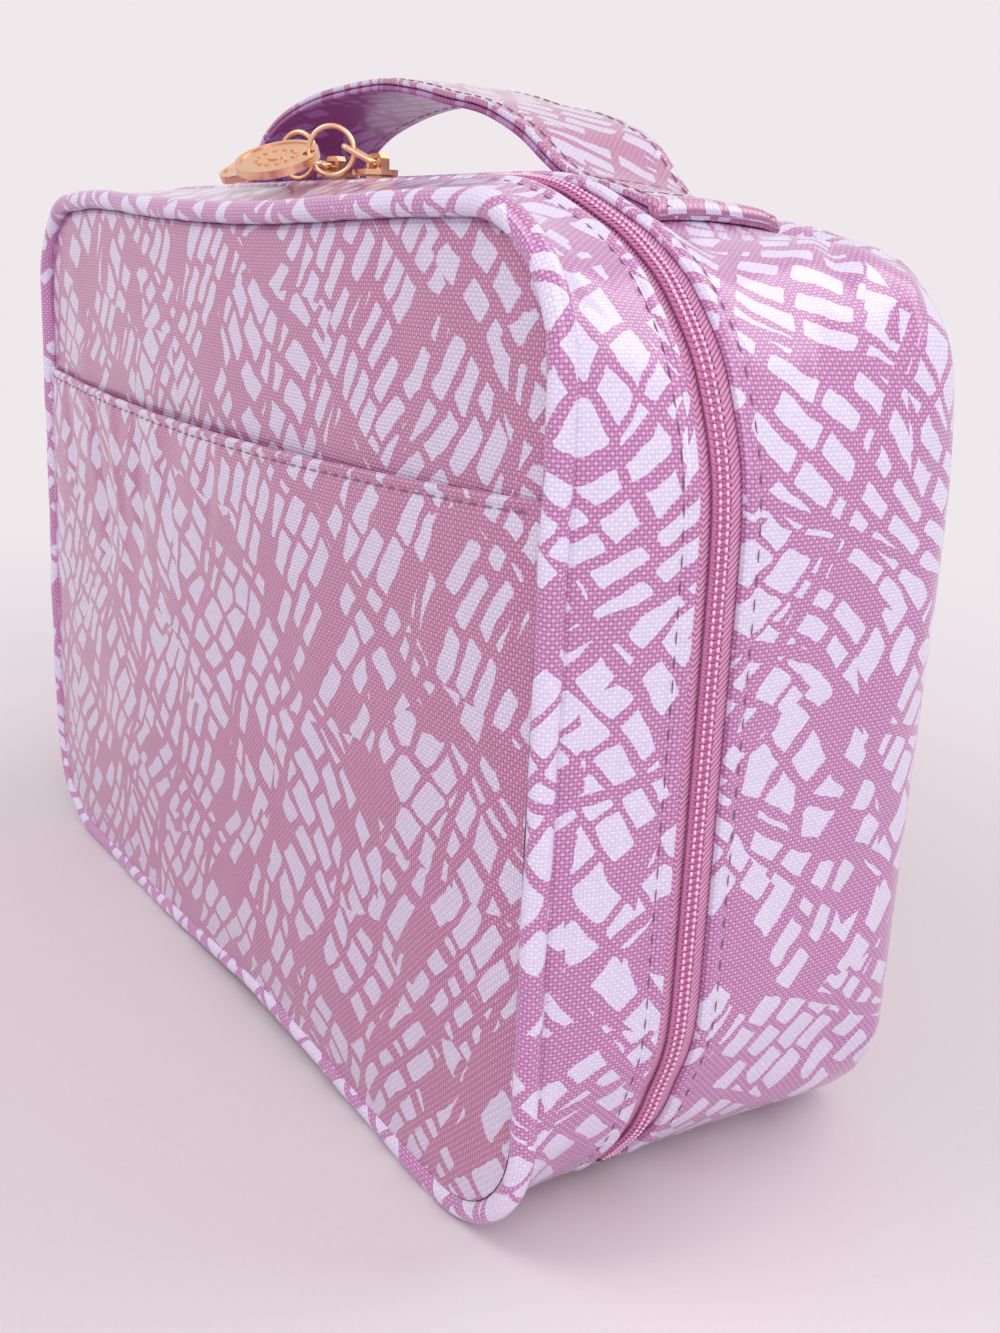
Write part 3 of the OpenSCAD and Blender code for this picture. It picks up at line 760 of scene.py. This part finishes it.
for front, side, body in shells:
    depthAt = frontDepth if side < 0 else rearDepth
    part = discPart(side * case["seamDepth"], panel["inset"], depthAt, panel["thick"], panel["rings"])
    makePiece(front + "PanelCloth", [part], cloth["print"], body, [front + "_panel"])

# front pocket

pocket = {"inset": 2.6, "hem": 148.4, "hemRise": 4.2, "stand": 1.5, "thick": 1.7, "gape": 1.9, "roll": 0.85,
          "printFrom": (700, 40)}


def pocketRows():
    # heights up the middle of the pocket, closer together round the corners and near the hem
    radius = case["cornerRadius"] - pocket["inset"]
    corner = case["cornerLow"] - radius * np.cos(np.linspace(0, math.pi / 2, 14))
    plain = np.arange(case["cornerLow"] + 2.2, pocket["hem"] - 6, 2.2)
    close = np.linspace(pocket["hem"] - 6, pocket["hem"] - pocket["roll"], 15)
    return np.concatenate([corner, plain, close])


def pocketWidth(z):
    radius = case["cornerRadius"] - pocket["inset"]
    beyond = np.clip((case["cornerLow"] - z) / radius, 0, 1)
    return case["straightHalf"] + radius * np.sqrt(1 - beyond ** 2)


# soft creases on the pocket: start (x, z), end (x, z), half-width, height
pocketFolds = [
    ((-112, 148), (-104, 112), 4.0, -0.9),
    ((-84, 150), (-78, 96), 3.6, -1.3),
    ((-66, 150), (-64, 104), 3.2, 0.9),
    ((-47, 149), (-50, 108), 3.4, -1.1),
    ((-30, 149), (-34, 118), 3.6, 0.7),
    ((6, 148), (2, 122), 4.0, -0.6),
    ((124, 70), (98, 52), 5.0, 0.7),
    ((120, 30), (90, 22), 5.0, -0.6),
    ((-120, 60), (-86, 44), 6.0, -0.6),
]


def pocketDepth(x, z):
    # the pocket's outer face; z is the height before the hem's curve is added
    edge = smooth((134.5 - np.abs(x)) / 9)
    gape = pocket["gape"] * bump(x, -8, 78) * smooth((z - 96) / 52)
    soft = (0.7 * waves(x, z, 74, 5.5) + 0.35 * waves(x, z, 33, 1.9)) * edge
    low = smooth((z - 6) / 10)
    folds = creaseHeight(x, z, pocketFolds) * edge
    return panelDepth(x, z, pocket["stand"]) + edge * low * (soft + 0.5) + folds + gape * edge


def hemCurve(x):
    return pocket["hemRise"] * (x / 132) ** 2


def pocketPart():
    # up the outside, over the hem's roll and down the inside: height, rise over it, and place behind the face
    rows, roll = pocketRows(), pocket["roll"]
    turn = np.linspace(0, math.pi, 7)[1:]
    stack = [(z, 0.0, 0.0) for z in rows]
    stack += [(rows[-1], roll * math.sin(a), roll * (1 - math.cos(a))) for a in turn]
    stack += [(z, 0.0, 2 * roll if z > pocket["hem"] - 11 else pocket["thick"] * 0.7) for z in rows[::-1]]
    height, rise, back = np.array(stack).T[..., None]
    columns = np.linspace(-1, 1, 321)
    x = columns * pocketWidth(height)
    share = np.clip((height - 60) / (pocket["hem"] - 60), 0, 1) ** 2
    z = height + share * hemCurve(x) + rise
    edge = smooth((1 - np.abs(columns)) / 0.03)
    dip = groove(x, height, pocket["hem"] - seam["pocketLine"], 0.4, 0.8)
    swell = 0.25 * bump(height, pocket["hem"] - 0.6, 1.2)
    y = back * (0.1 + 0.9 * edge) - pocketDepth(x, height) - (dip + swell) * (back == 0) * edge
    points = settle(np.stack([x, y, z], -1))
    length = running(np.hypot(np.diff((height + rise)[:, 0]), np.diff(back[:, 0])))
    length = np.append(length, length[-1] + 1)
    uv = np.stack(np.broadcast_arrays(np.vstack([x, x[:1]]), length[:, None]), -1) + pocket["printFrom"]
    return gridPart(points, uv, True)


makePiece("pocketCloth", [pocketPart()], cloth["print"], "front_cover", ["front_pocket"])


def pocketLine():
    # stitches along the hem
    x = np.arange(-131, 131.5, seam["pitch"])
    height = pocket["hem"] - seam["pocketLine"]
    point = lambda a, h: settle(np.stack([a, -pocketDepth(a, h), h + hemCurve(a)], -1))
    here, along, normal = surfaceFrame(point, x, np.full_like(x, height))
    normal = normal * -np.sign(normal[:, 1:2])
    return stitchPart(here - normal * 0.1, along, normal, seam["thread"])


makePiece("pocketStitches", [pocketLine()], cloth["stitch"], "front_cover")
print("outer cloth ready")

# zip

zipper = {"tapeOff": -1.66, "tapeThick": 0.6, "under": 4.0, "gap": 0.3, "from": 115.0,
          "coilOff": -1.0, "coilIn": -0.3, "coilOut": 1.75, "coilHigh": 0.58, "pitch": 1.4, "wire": 0.3}


def zipTape(front, side, body):
    inner = case["zipY"] + side * zipper["gap"]
    outer = case[front + "Fold"] + side * zipper["under"]
    profile = stripProfile(np.linspace(inner, outer, 12), zipper["tapeOff"], zipper["tapeThick"])
    part = sweep(profile, np.arange(zipper["from"], outlineLength - zipper["from"] + 1, 1.5))
    makePiece(front + "ZipTape", [part], cloth["tape"], body, [front + "_zip_tape"])
    # the turns' sewing shows as a bright dot on each; the dark dots beside the coil mark the sewing there,
    # made dark as painted shade in the groove between coil and tape
    along = np.arange(zipper["from"] + 8, outlineLength - zipper["from"] - 8, zipper["pitch"])
    for name, place, high, size, thread in (("ZipStitches", 0.8, 0.92, (0.5, 0.38, 0.3), "zipStitch"),
                                            ("ZipHoles", 2.0, 0.15, (0.46, 0.26, 0.2), "holes")):
        row = stitchRow(along, case["zipY"] + side * place, zipper["coilOff"] + high, size)
        makePiece(front + name, [row], cloth[thread], body)


def zipCoil(front, side, body):
    # half of the chain: a flattened helix whose turns reach past the middle to lock with the other half
    turns = (outlineLength - 2 * zipper["from"]) / zipper["pitch"]
    angle = np.linspace(0, 2 * math.pi * turns, int(turns * 13))
    phase = 0.0 if side < 0 else 0.5
    s = zipper["from"] + zipper["pitch"] * (angle / (2 * math.pi) + phase)
    middle = (zipper["coilIn"] + zipper["coilOut"]) / 2
    reach = (zipper["coilOut"] - zipper["coilIn"]) / 2
    y = case["zipY"] + side * (middle - reach * np.cos(angle))
    off = zipper["coilOff"] + zipper["coilHigh"] * np.sin(angle)
    coil = tubePart(bagPoint(s, y, off), zipper["wire"], 6)
    # the filler cord that the coil is wound on
    cord = [(case["zipY"] + side * (middle + 0.25 + 0.85 * reach * math.cos(a)),
             zipper["coilOff"] + 0.75 * zipper["coilHigh"] * math.sin(a))
            for a in np.linspace(0, 2 * math.pi, 10, endpoint=False)]
    core = sweep(cord, np.arange(zipper["from"] + 8, outlineLength - zipper["from"] - 8, 2.0))
    makePiece(front + "ZipCoil", [coil, core], cloth["coil"], body, [front + "_zip_coil"])


def zipStops(front, side, body):
    # bright clamps over the last turns, where the chain goes under the case
    turn = np.linspace(-0.3, math.pi + 0.3, 12)
    bent = [(1.75, 1.25, a) for a in turn] + [(1.45, 0.98, a) for a in turn[::-1]]
    clamp = [(case["zipY"] + side * (1.1 + wide * math.cos(a)), zipper["coilOff"] + high * math.sin(a))
             for wide, high, a in bent]
    parts = [sweep(clamp, np.linspace(s - 2.2, s + 2.2, 5))
             for s in (zipper["from"] + 9.5, outlineLength - zipper["from"] - 9.5)]
    makePiece(front + "ZipStops", parts, cloth["nickel"], body, [front + "_zip_stops"])


for shell in shells:
    zipTape(*shell)
    zipCoil(*shell)
    zipStops(*shell)


def hingeStrip():
    across = np.linspace(case["rearFold"] - 0.25, case["frontFold"] + 0.25, 24)
    part = sweep(stripProfile(across, -0.4, 0.7), np.arange(-113.5, 114, 1.5))
    piece = makePiece("hingeTape", [part], cloth["tape"], None, ["hinge_strip"])
    start, end = (0, case["rearFold"] * mm, 0), (0, case["frontFold"] * mm, 0)
    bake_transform(piece)
    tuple(start)
    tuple(end)


hingeStrip()
print("zip ready")

# handle

strap = {"front": -1.0, "width": 38.0, "plane": 208.9, "thick": 1.5, "edgeLine": 3.0, "turned": 5.0,
         "askew": 4.7, "endRoll": 0.6, "endRound": 1.6, "lap": 3.6, "edgeRound": 0.7,
         "footLines": (9.0, 22.5), "printFrom": (900, 30)}
# the line between the strap's two layers: x, and height above the cloth it is sewn to
strapPath = [
    (-100, 1.6), (-94, 1.6), (-90, 2.6), (-87.5, 5.4), (-85.5, 9), (-80, 13.8), (-67, 18.8), (-43, 22.8),
    (-15, 23.5), (5, 21.2), (20, 18), (36, 15), (50, 10.2), (60, 5.6), (66, 3.2), (71, 2), (76, 1.6),
    (83, 1.6), (100, 1.6),
]


def smoothPath(points, count):
    # an even run of points along a smooth curve through the given ones
    padded = np.vstack([points[0], points, points[-1]])
    t = np.linspace(0, 1, 12, endpoint=False)[:, None]
    pieces = []
    for a, b, c, d in zip(padded, padded[1:], padded[2:], padded[3:]):
        pieces.append(0.5 * (2 * b + (c - a) * t + (2 * a - 5 * b + 4 * c - d) * t ** 2
                             + (3 * b - a - 3 * c + d) * t ** 3))
    line = np.vstack(pieces + [points[-1:]])
    length = running(np.linalg.norm(np.diff(line, axis=0), axis=1))
    even = np.linspace(0, length[-1], count)
    return np.stack([np.interp(even, length, line[:, k]) for k in (0, 1)], -1), even


topMiddle = outlineStops[4] + half
strapLine, strapRun = smoothPath(strapPath, 300)
strapFlat = np.gradient(strapLine, axis=0)
strapNormal = unit(np.stack([-strapFlat[:, 1], strapFlat[:, 0]], -1))


def topHeight(x, y):
    # height of the cloth on top of the case
    return bagPoint(topMiddle - x, y, 0)[..., 2]


def strapPoint(run, across, lift):
    # run along the strap, across it from its front edge, and lift above the line between its layers
    run, across, lift = np.broadcast_arrays(run, across, lift)
    x = np.interp(run, strapRun, strapLine[:, 0]) + lift * np.interp(run, strapRun, strapNormal[:, 0])
    rise = np.interp(run, strapRun, strapLine[:, 1]) + lift * np.interp(run, strapRun, strapNormal[:, 1])
    y = strap["front"] + across
    # the right foot is sewn on a little askew
    x = x - strap["askew"] * across / strap["width"] * smooth((x - 55) / 40)
    free = smooth((rise - 2.5) / 9)
    ground = topHeight(np.clip(x, -104, 104), y) * (1 - free) + strap["plane"] * free
    cup = 0.5 * ((across / strap["width"] - 0.5) * 2) ** 2 * free
    ripple = 0.35 * waves(run, across, 46, 0.9) * free
    return np.stack([x, y + 0.4 * free * np.sin(run / 31), ground + rise - cup + ripple], -1)


def strapLoop():
    # once round a layer's section: across the strap, and from 1 on its top to -1 on its underside
    edge, width = strap["edgeRound"], strap["width"]
    nearEdge = np.array([0.9, 1.8, 2.4, 3.0, 3.6, 4.4])
    inner = np.concatenate([nearEdge, np.linspace(6, width - 6, 16), width - nearEdge[::-1]])
    turn = np.linspace(-math.pi / 2, math.pi / 2, 5)
    loop = [(a, 1.0) for a in inner]
    loop += [(width - edge + edge * math.cos(t), -math.sin(t)) for t in turn]
    loop += [(a, -1.0) for a in inner[::-1]]
    loop += [(edge - edge * math.cos(t), math.sin(t)) for t in turn]
    return np.array(loop).T[..., None]


def strapLayer(name, node, material, low, high):
    # the upper layer is turned under at both ends; the lower one stops short of them
    upper = high > 0
    first = 0.0 if upper else strap["lap"] + 0.3
    tips = np.array([0, 0.08, 0.25, 0.5, 0.85, 1.25, 1.7, 2.2, 2.8, 3.3, 3.6, 4.0, 4.6, 5.2])
    last = strapRun[-1] - first
    run = np.concatenate([first + tips, np.linspace(first + 6, last - 6, 320), (last - tips)[::-1]])
    fromEnd = np.minimum(run, strapRun[-1] - run)
    across, rise = strapLoop()
    lap = 1 - smooth((fromEnd - strap["lap"] + 0.5) / 0.5) if upper else 0 * fromEnd
    bottom = low * (1 - lap) - strap["thick"] * lap
    tip = np.clip(1 - fromEnd / strap["endRound"], 0, 1)
    rounded = np.sqrt(np.clip(1 - tip ** 2, 0.02, 1)) if upper else 1.0
    lift = (high + bottom) / 2 + rise * rounded * (high - bottom) / 2
    outside = (rise > 0.99) & upper
    ends = np.clip(1 - fromEnd / strap["turned"], 0, 1)
    dome = np.sqrt(np.clip(1 - (2 * ends - 1) ** 2, 0, 1)) ** 0.6
    roll = np.where(outside, strap["endRoll"] * dome * (ends > 0), 0)
    line = groove(run, across, strap["edgeLine"], 0.3, 0.8)
    line = line + groove(run, strap["width"] - across, strap["edgeLine"], 0.3, 0.8)
    points = strapPoint(run, across, lift + roll + line * outside)
    length = running(np.abs(np.diff(across[:, 0], append=across[0, 0])))
    part = gridPart(points, uvGrid(run, length) + strap["printFrom"], True)
    makePiece(name, [part, endCap(points, 0), endCap(points, -1)], material, "rear_case", [node])


def endCap(points, at):
    # closes one end of a swept shape with quads between its two halves
    rim = points[:, at]
    count = len(rim) // 2
    return gridPart(np.stack([rim[:count], rim[::-1][:count]]), uvGrid(np.arange(count), [0, 1.5]))


strapLayer("handleCloth", "handle_top", cloth["handle"], 0.05, strap["thick"])
# the lower layer wears the darkened copy of the print: painted shade
strapLayer("handleUnderCloth", "handle_under", cloth["under"], -strap["thick"], -0.05)


def strapStitches():
    # two rows along the edges, above and below, and four rows across the feet
    rows = []
    top = strap["thick"] + 0.02

    def addRow(point, line, at, lift):
        here, along, normal = surfaceFrame(point, line, np.full_like(line, at))
        rows.append(stitchPart(here, along, normal * np.sign(lift * normal[:, 2:3]), seam["thread"]))

    run = np.arange(2, strapRun[-1] - 1, seam["pitch"])
    for edge in (strap["edgeLine"], strap["width"] - strap["edgeLine"]):
        for lift in (top, -top):
            addRow(lambda a, b: strapPoint(a, b, lift), run, edge, lift)
    across = np.arange(5, strap["width"] - 4, seam["pitch"])
    near = np.array(strap["footLines"])
    for start in (*near, *(strapRun[-1] - near[::-1])):
        addRow(lambda a, b: strapPoint(b, a, top), across, start, top)
    makePiece("handleStitches", rows, cloth["stitch"], "rear_case")


strapStitches()
print("handle ready")

# metal

goldNodes = ["slider_left", "slider_right", "pull_loop_left", "pull_loop_right", "jump_ring_left",
             "jump_ring_right", "charm_left", "charm_right"]
for item in bpy.data.objects:
    if item.name in goldNodes:
        for place in item.material_slots:
            place.material = cloth["gold"]
print("metal ready")

# padding, lining and the pieces inside

inside = {"skin": -1.45, "foam": 2.85, "panelFoamInset": 8.6, "panelFoam": 3.2, "panelFoamGap": 2.6,
          "wall": -4.45, "wallThick": 0.7, "floorInset": 4.9, "floorDepth": 45.5, "floorThick": 0.7,
          "rim": -2.95}
binding = {"y": 47.5, "off": -6.85, "radius": 1.6}


def foamPieces(front, side, body):
    depthAt = lambda x, z: panelDepth(x, z) - inside["panelFoamGap"]
    slab = discPart(side * case["seamDepth"], inside["panelFoamInset"], depthAt, inside["panelFoam"], 20)
    pad = makePiece(front + "PanelPadding", [slab], cloth["foam"], body, [front + "_panel_foam"])
    y = np.linspace(case[front + "Fold"] + side * 5.8, side * 45.4, 14)
    part = sweepRound(stripProfile(y, inside["skin"], inside["foam"]), 2.5)
    pad = makePiece(front + "GussetPadding", [part], cloth["foam"], body, [front + "_gusset_foam"])


def liningPiece(front, side, body):
    # a tray: a rim turned out to the tape, the walls, and a floor over the panel's padding
    edge = case[front + "Fold"] + 0.2
    rim, wall, thick = inside["rim"], inside["wall"], inside["wallThick"]
    deep = side * (inside["floorDepth"] - 0.3)
    y = np.linspace(edge, deep, 26)[1:]
    profile = [(edge, rim), (edge, wall)] + [(a, wall) for a in y]
    profile += [(a, wall - thick) for a in y[::-1]]
    profile += [(edge + side * 0.9, wall - thick), (edge + side * 0.7, rim)]

    def slack(s, a, off):
        drape = smooth((np.abs(a - edge) - 4) / 6) * smooth((np.abs(a - deep) - 1) / 6)
        return -0.5 * drape * (1 + waves(s, a * 2.0, 60, 2.7 + side))

    walls = sweepRound(profile, 2.0, slack)
    floor = discPart(side * inside["floorDepth"], inside["floorInset"],
                     lambda x, z: floorDepth(x, z, side), inside["floorThick"], 34)
    makePiece(front + "LiningCloth", [walls, floor], cloth["lining"], body, [front + "_lining"])


def floorDepth(x, z, side):
    fade = smooth((122 - np.abs(x)) / 18) * smooth((88 - np.abs(z - 101)) / 18)
    return inside["floorDepth"] - 0.15 + 0.35 * waves(x, z, 70, 3.1 + side) * fade


def bindingPiece(front, side, body):
    ring = roundTheSeam(side * binding["y"], binding["off"], binding["radius"], 12, 0.0, 0.03, 2.5)
    node = front + "_seam_binding"
    makePiece(front + "SeamBinding", [ring], cloth["binding"], body, [node])


for shell in shells:
    foamPieces(*shell)
    liningPiece(*shell)
    bindingPiece(*shell)


def flatPart(halfWidth, low, high, depthAt, thick, side, step=2.5):
    # a rectangular sheet standing inside a panel; depthAt gives its outer face
    columns = np.linspace(-halfWidth, halfWidth, int(2 * halfWidth / step) + 1)
    rows = np.linspace(low, high, max(3, int((high - low) / step) + 1))
    x, z = np.meshgrid(columns, np.concatenate([rows, rows[::-1]]))
    inner = np.repeat([0.0, thick], len(rows))[:, None]
    ends = smooth((halfWidth - np.abs(x)) / 1.5)
    points = settle(np.stack([x, side * (depthAt(x, z) - inner * ends), z], -1))
    length = running(np.hypot(np.diff(z[:, 0]), np.diff(inner[:, 0])))
    length = np.append(length, length[-1] + thick)
    return gridPart(points, uvGrid(columns + 200, length + 20), True)


# half width, heights and thickness of each pocket, and the strips along its edges
clearPocket = {"half": 110, "low": 22, "high": 154, "thick": 0.35, "strip": 8, "stripThick": 0.8}
meshPocket = {"half": 115, "low": 12, "high": 96, "thick": 0.4, "strip": 8, "stripThick": 1.5}
pocketBack = {"half": 125, "low": 12, "high": 136, "thick": 0.3}


def clearSag(x, z):
    across = np.clip(1 - (x / clearPocket["half"]) ** 2, 0, 1)
    slack = 0.25 + 0.5 * smooth((z - 70) / 84)
    return floorDepth(x, z, -1) - inside["floorThick"] - 0.15 - across * slack


def clearPocketPieces():
    half, low, high, thick, width = (clearPocket[k] for k in ("half", "low", "high", "thick", "strip"))
    sheet = flatPart(half - 1, low + 1, high - 1, clearSag, thick, -1)
    film = makePiece("clearPocketFilm", [sheet], cloth["vinyl"], "front_cover",
                     ["clear_pocket"])
    bars = [
        shiftedFlat(middle, halfWidth, start, end, lambda x, z: clearSag(x, z) - thick)
        for middle, halfWidth, start, end in (
            (0, half, low, low + width), (0, half, high - width, high),
            (-half + width / 2, width / 2, low + width, high - width),
            (half - width / 2, width / 2, low + width, high - width))
    ]
    rim = makePiece("clearPocketBinding", bars, cloth["binding"], "front_cover",
                    ["clear_pocket_binding"])


def shiftedFlat(middle, halfWidth, low, high, depthAt):
    # a strip of the clear pocket's binding, whose middle stands to one side
    shifted = lambda x, z: depthAt(x + middle, z)
    points, quads, corners = flatPart(halfWidth, low, high, shifted, clearPocket["stripThick"], -1, 2.0)
    return points + [middle, 0, 0], quads, corners


def meshSag(x, z):
    across = np.clip(1 - (x / meshPocket["half"]) ** 2, 0, 1)
    gathers = 0.35 * np.sin(x / 4.6 + 0.8 * np.sin(x / 17)) * smooth((z - 30) / 50)
    return floorDepth(x, z, 1) - inside["floorThick"] - 0.5 - across * (0.5 + gathers)


def meshPocketPieces():
    half, low, high, thick = (meshPocket[k] for k in ("half", "low", "high", "thick"))
    net = flatPart(half, low, high, meshSag, thick, 1, 2.0)
    piece = makePiece("meshPocketNet", [net], cloth["net"], "rear_case", ["mesh_pocket"])
    band = flatPart(half, high + 0.05, high + meshPocket["strip"], lambda x, z: meshSag(x, z) + 0.3,
                    meshPocket["stripThick"], 1, 2.0)
    rim = makePiece("meshPocketBand", [band], cloth["binding"], "rear_case",
                    ["mesh_pocket_band"])


clearPocketPieces()
meshPocketPieces()


def pocketLining():
    half, low, high, thick = pocketBack.values()
    sheet = flatPart(half, low, high, lambda x, z: panelDepth(x, z) - 0.2, thick, -1)
    piece = makePiece("pocketLiningCloth", [sheet], cloth["lining"], "front_cover",
                      ["front_pocket_lining"])


pocketLining()


def stiffener(name, node, stretches, yLow, yHigh, thick):
    # stiff sheets just under the outer cloth, along one or more stretches of the outline
    profile = stripProfile(np.linspace(yLow, yHigh, 12), inside["skin"] - 0.1, thick)
    parts = []
    for start, end in stretches:
        part = sweep(profile, np.arange(start, end + 0.1, 2.0))
        rim = part[0].reshape(len(profile), -1, 3)
        parts += [part, endCap(rim, 0), endCap(rim, -1)]
    makePiece(name, parts, cloth["board"], "rear_case", [node])


stiffener("baseStiffener", "base_board", [(-108, 108)], -7.4, 41, 1.3)
feet = [(topMiddle - 100, topMiddle - 75), (topMiddle + 75, topMiddle + 100)]
stiffener("handleStiffener", "handle_backing", feet, -0.5, 36.5, 0.9)
print("inside ready")

# camera, table and light

view = {"lens": 37.455, "azimuth": 55.19, "elevation": 16.42, "roll": 2.43,
        "place": (0.31893, -0.1864, 0.19104), "backdrop": screen(239, 233, 236)}


def addCamera():
    turn, rise, roll = (math.radians(view[key]) for key in ("azimuth", "elevation", "roll"))
    back = Vector((math.sin(turn) * math.cos(rise), -math.cos(turn) * math.cos(rise), math.sin(rise)))
    right = Vector((0, 0, 1)).cross(back).normalized()
    upward = back.cross(right)
    tiltedRight = math.cos(roll) * right + math.sin(roll) * upward
    tiltedUp = -math.sin(roll) * right + math.cos(roll) * upward
    camera = bpy.data.objects.new("camera", bpy.data.cameras.new("camera"))
    bpy.context.collection.objects.link(camera)
    camera.data.sensor_width = 36
    camera.data.lens = view["lens"]
    camera.data.clip_start = 0.01
    turned = Matrix((tiltedRight, tiltedUp, back)).transposed().to_4x4()
    camera.matrix_world = Matrix.Translation(view["place"]) @ turned
    bpy.context.scene.camera = camera


def addTable():
    # the far part of the table turns into the plain backdrop, so that no horizon shows
    nodes = startMaterial("paleTable", Roughness=0.62, Specular_IOR_Level=0.3)
    where = nodes.add("TexCoord", out=ownPlace)
    away = nodes.add("VectorMath", {0: where, 1: (0.05, 0.0, 0.0)}, out=1, operation="DISTANCE")
    fade = nodes.add("MapRange", {0: away, 1: 0.2, 2: 0.75, 3: 0.0, 4: 1.0}, interpolation_type="SMOOTHSTEP")
    grain = nodes.grain(900.0, 3.0)
    near = nodes.mix(grain, screen(227, 218, 220), screen(233, 225, 227))
    material = nodes.finish(Base_Color=nodes.mix(fade, near, screen(240, 236, 239)),
                            Normal=nodes.bump(0.02, grain))
    glow = nodes.add("Emission", {"Color": view["backdrop"], "Strength": 1.0})
    plain = nodes.calc("MULTIPLY", fade, nodes.seen())
    shader = nodes.tree.nodes["Principled BSDF"].outputs[0]
    nodes.join(nodes.add("MixShader", {0: plain, 1: shader, 2: glow}),
               nodes.tree.nodes["Material Output"].inputs["Surface"])
    reach = 3.0
    mesh = bpy.data.meshes.new("table")
    corners = [(-reach, -reach, 0), (reach, -reach, 0), (reach, reach, 0), (-reach, reach, 0)]
    mesh.from_pydata(corners, [], [(0, 1, 2, 3)])
    mesh.materials.append(material)
    table = bpy.data.objects.new("table", mesh)
    bpy.context.collection.objects.link(table)


def addLights():
    lamps = [
        ("key", (-0.25, -0.75, 1.05), 0.55, 4.0),
        ("fill", (1.0, -0.35, 0.75), 0.9, 5.5),
        ("top", (0.35, 0.75, 1.0), 0.8, 4.4),
    ]
    for name, place, size, power in lamps:
        lamp = bpy.data.lights.new(name, "AREA")
        lamp.size = size
        lamp.energy = power
        item = bpy.data.objects.new(name, lamp)
        item.location = place
        item.rotation_euler = (Vector((0, 0, 0.1)) - Vector(place)).to_track_quat("-Z", "Y").to_euler()
        bpy.context.collection.objects.link(item)
    world = bpy.context.scene.world or bpy.data.worlds.new("world")
    bpy.context.scene.world = world
    nodes = Nodes(world)
    ground = nodes.tree.nodes["Background"]
    nodes.join(screen(238, 232, 238), ground.inputs["Color"])
    nodes.join(0.62, ground.inputs["Strength"])
    plain = nodes.add("Background", {"Color": view["backdrop"], "Strength": 1.0})
    nodes.join(nodes.add("MixShader", {0: nodes.seen(), 1: ground.outputs[0], 2: plain}),
               nodes.tree.nodes["World Output"].inputs["Surface"])


addCamera()
addTable()
addLights()
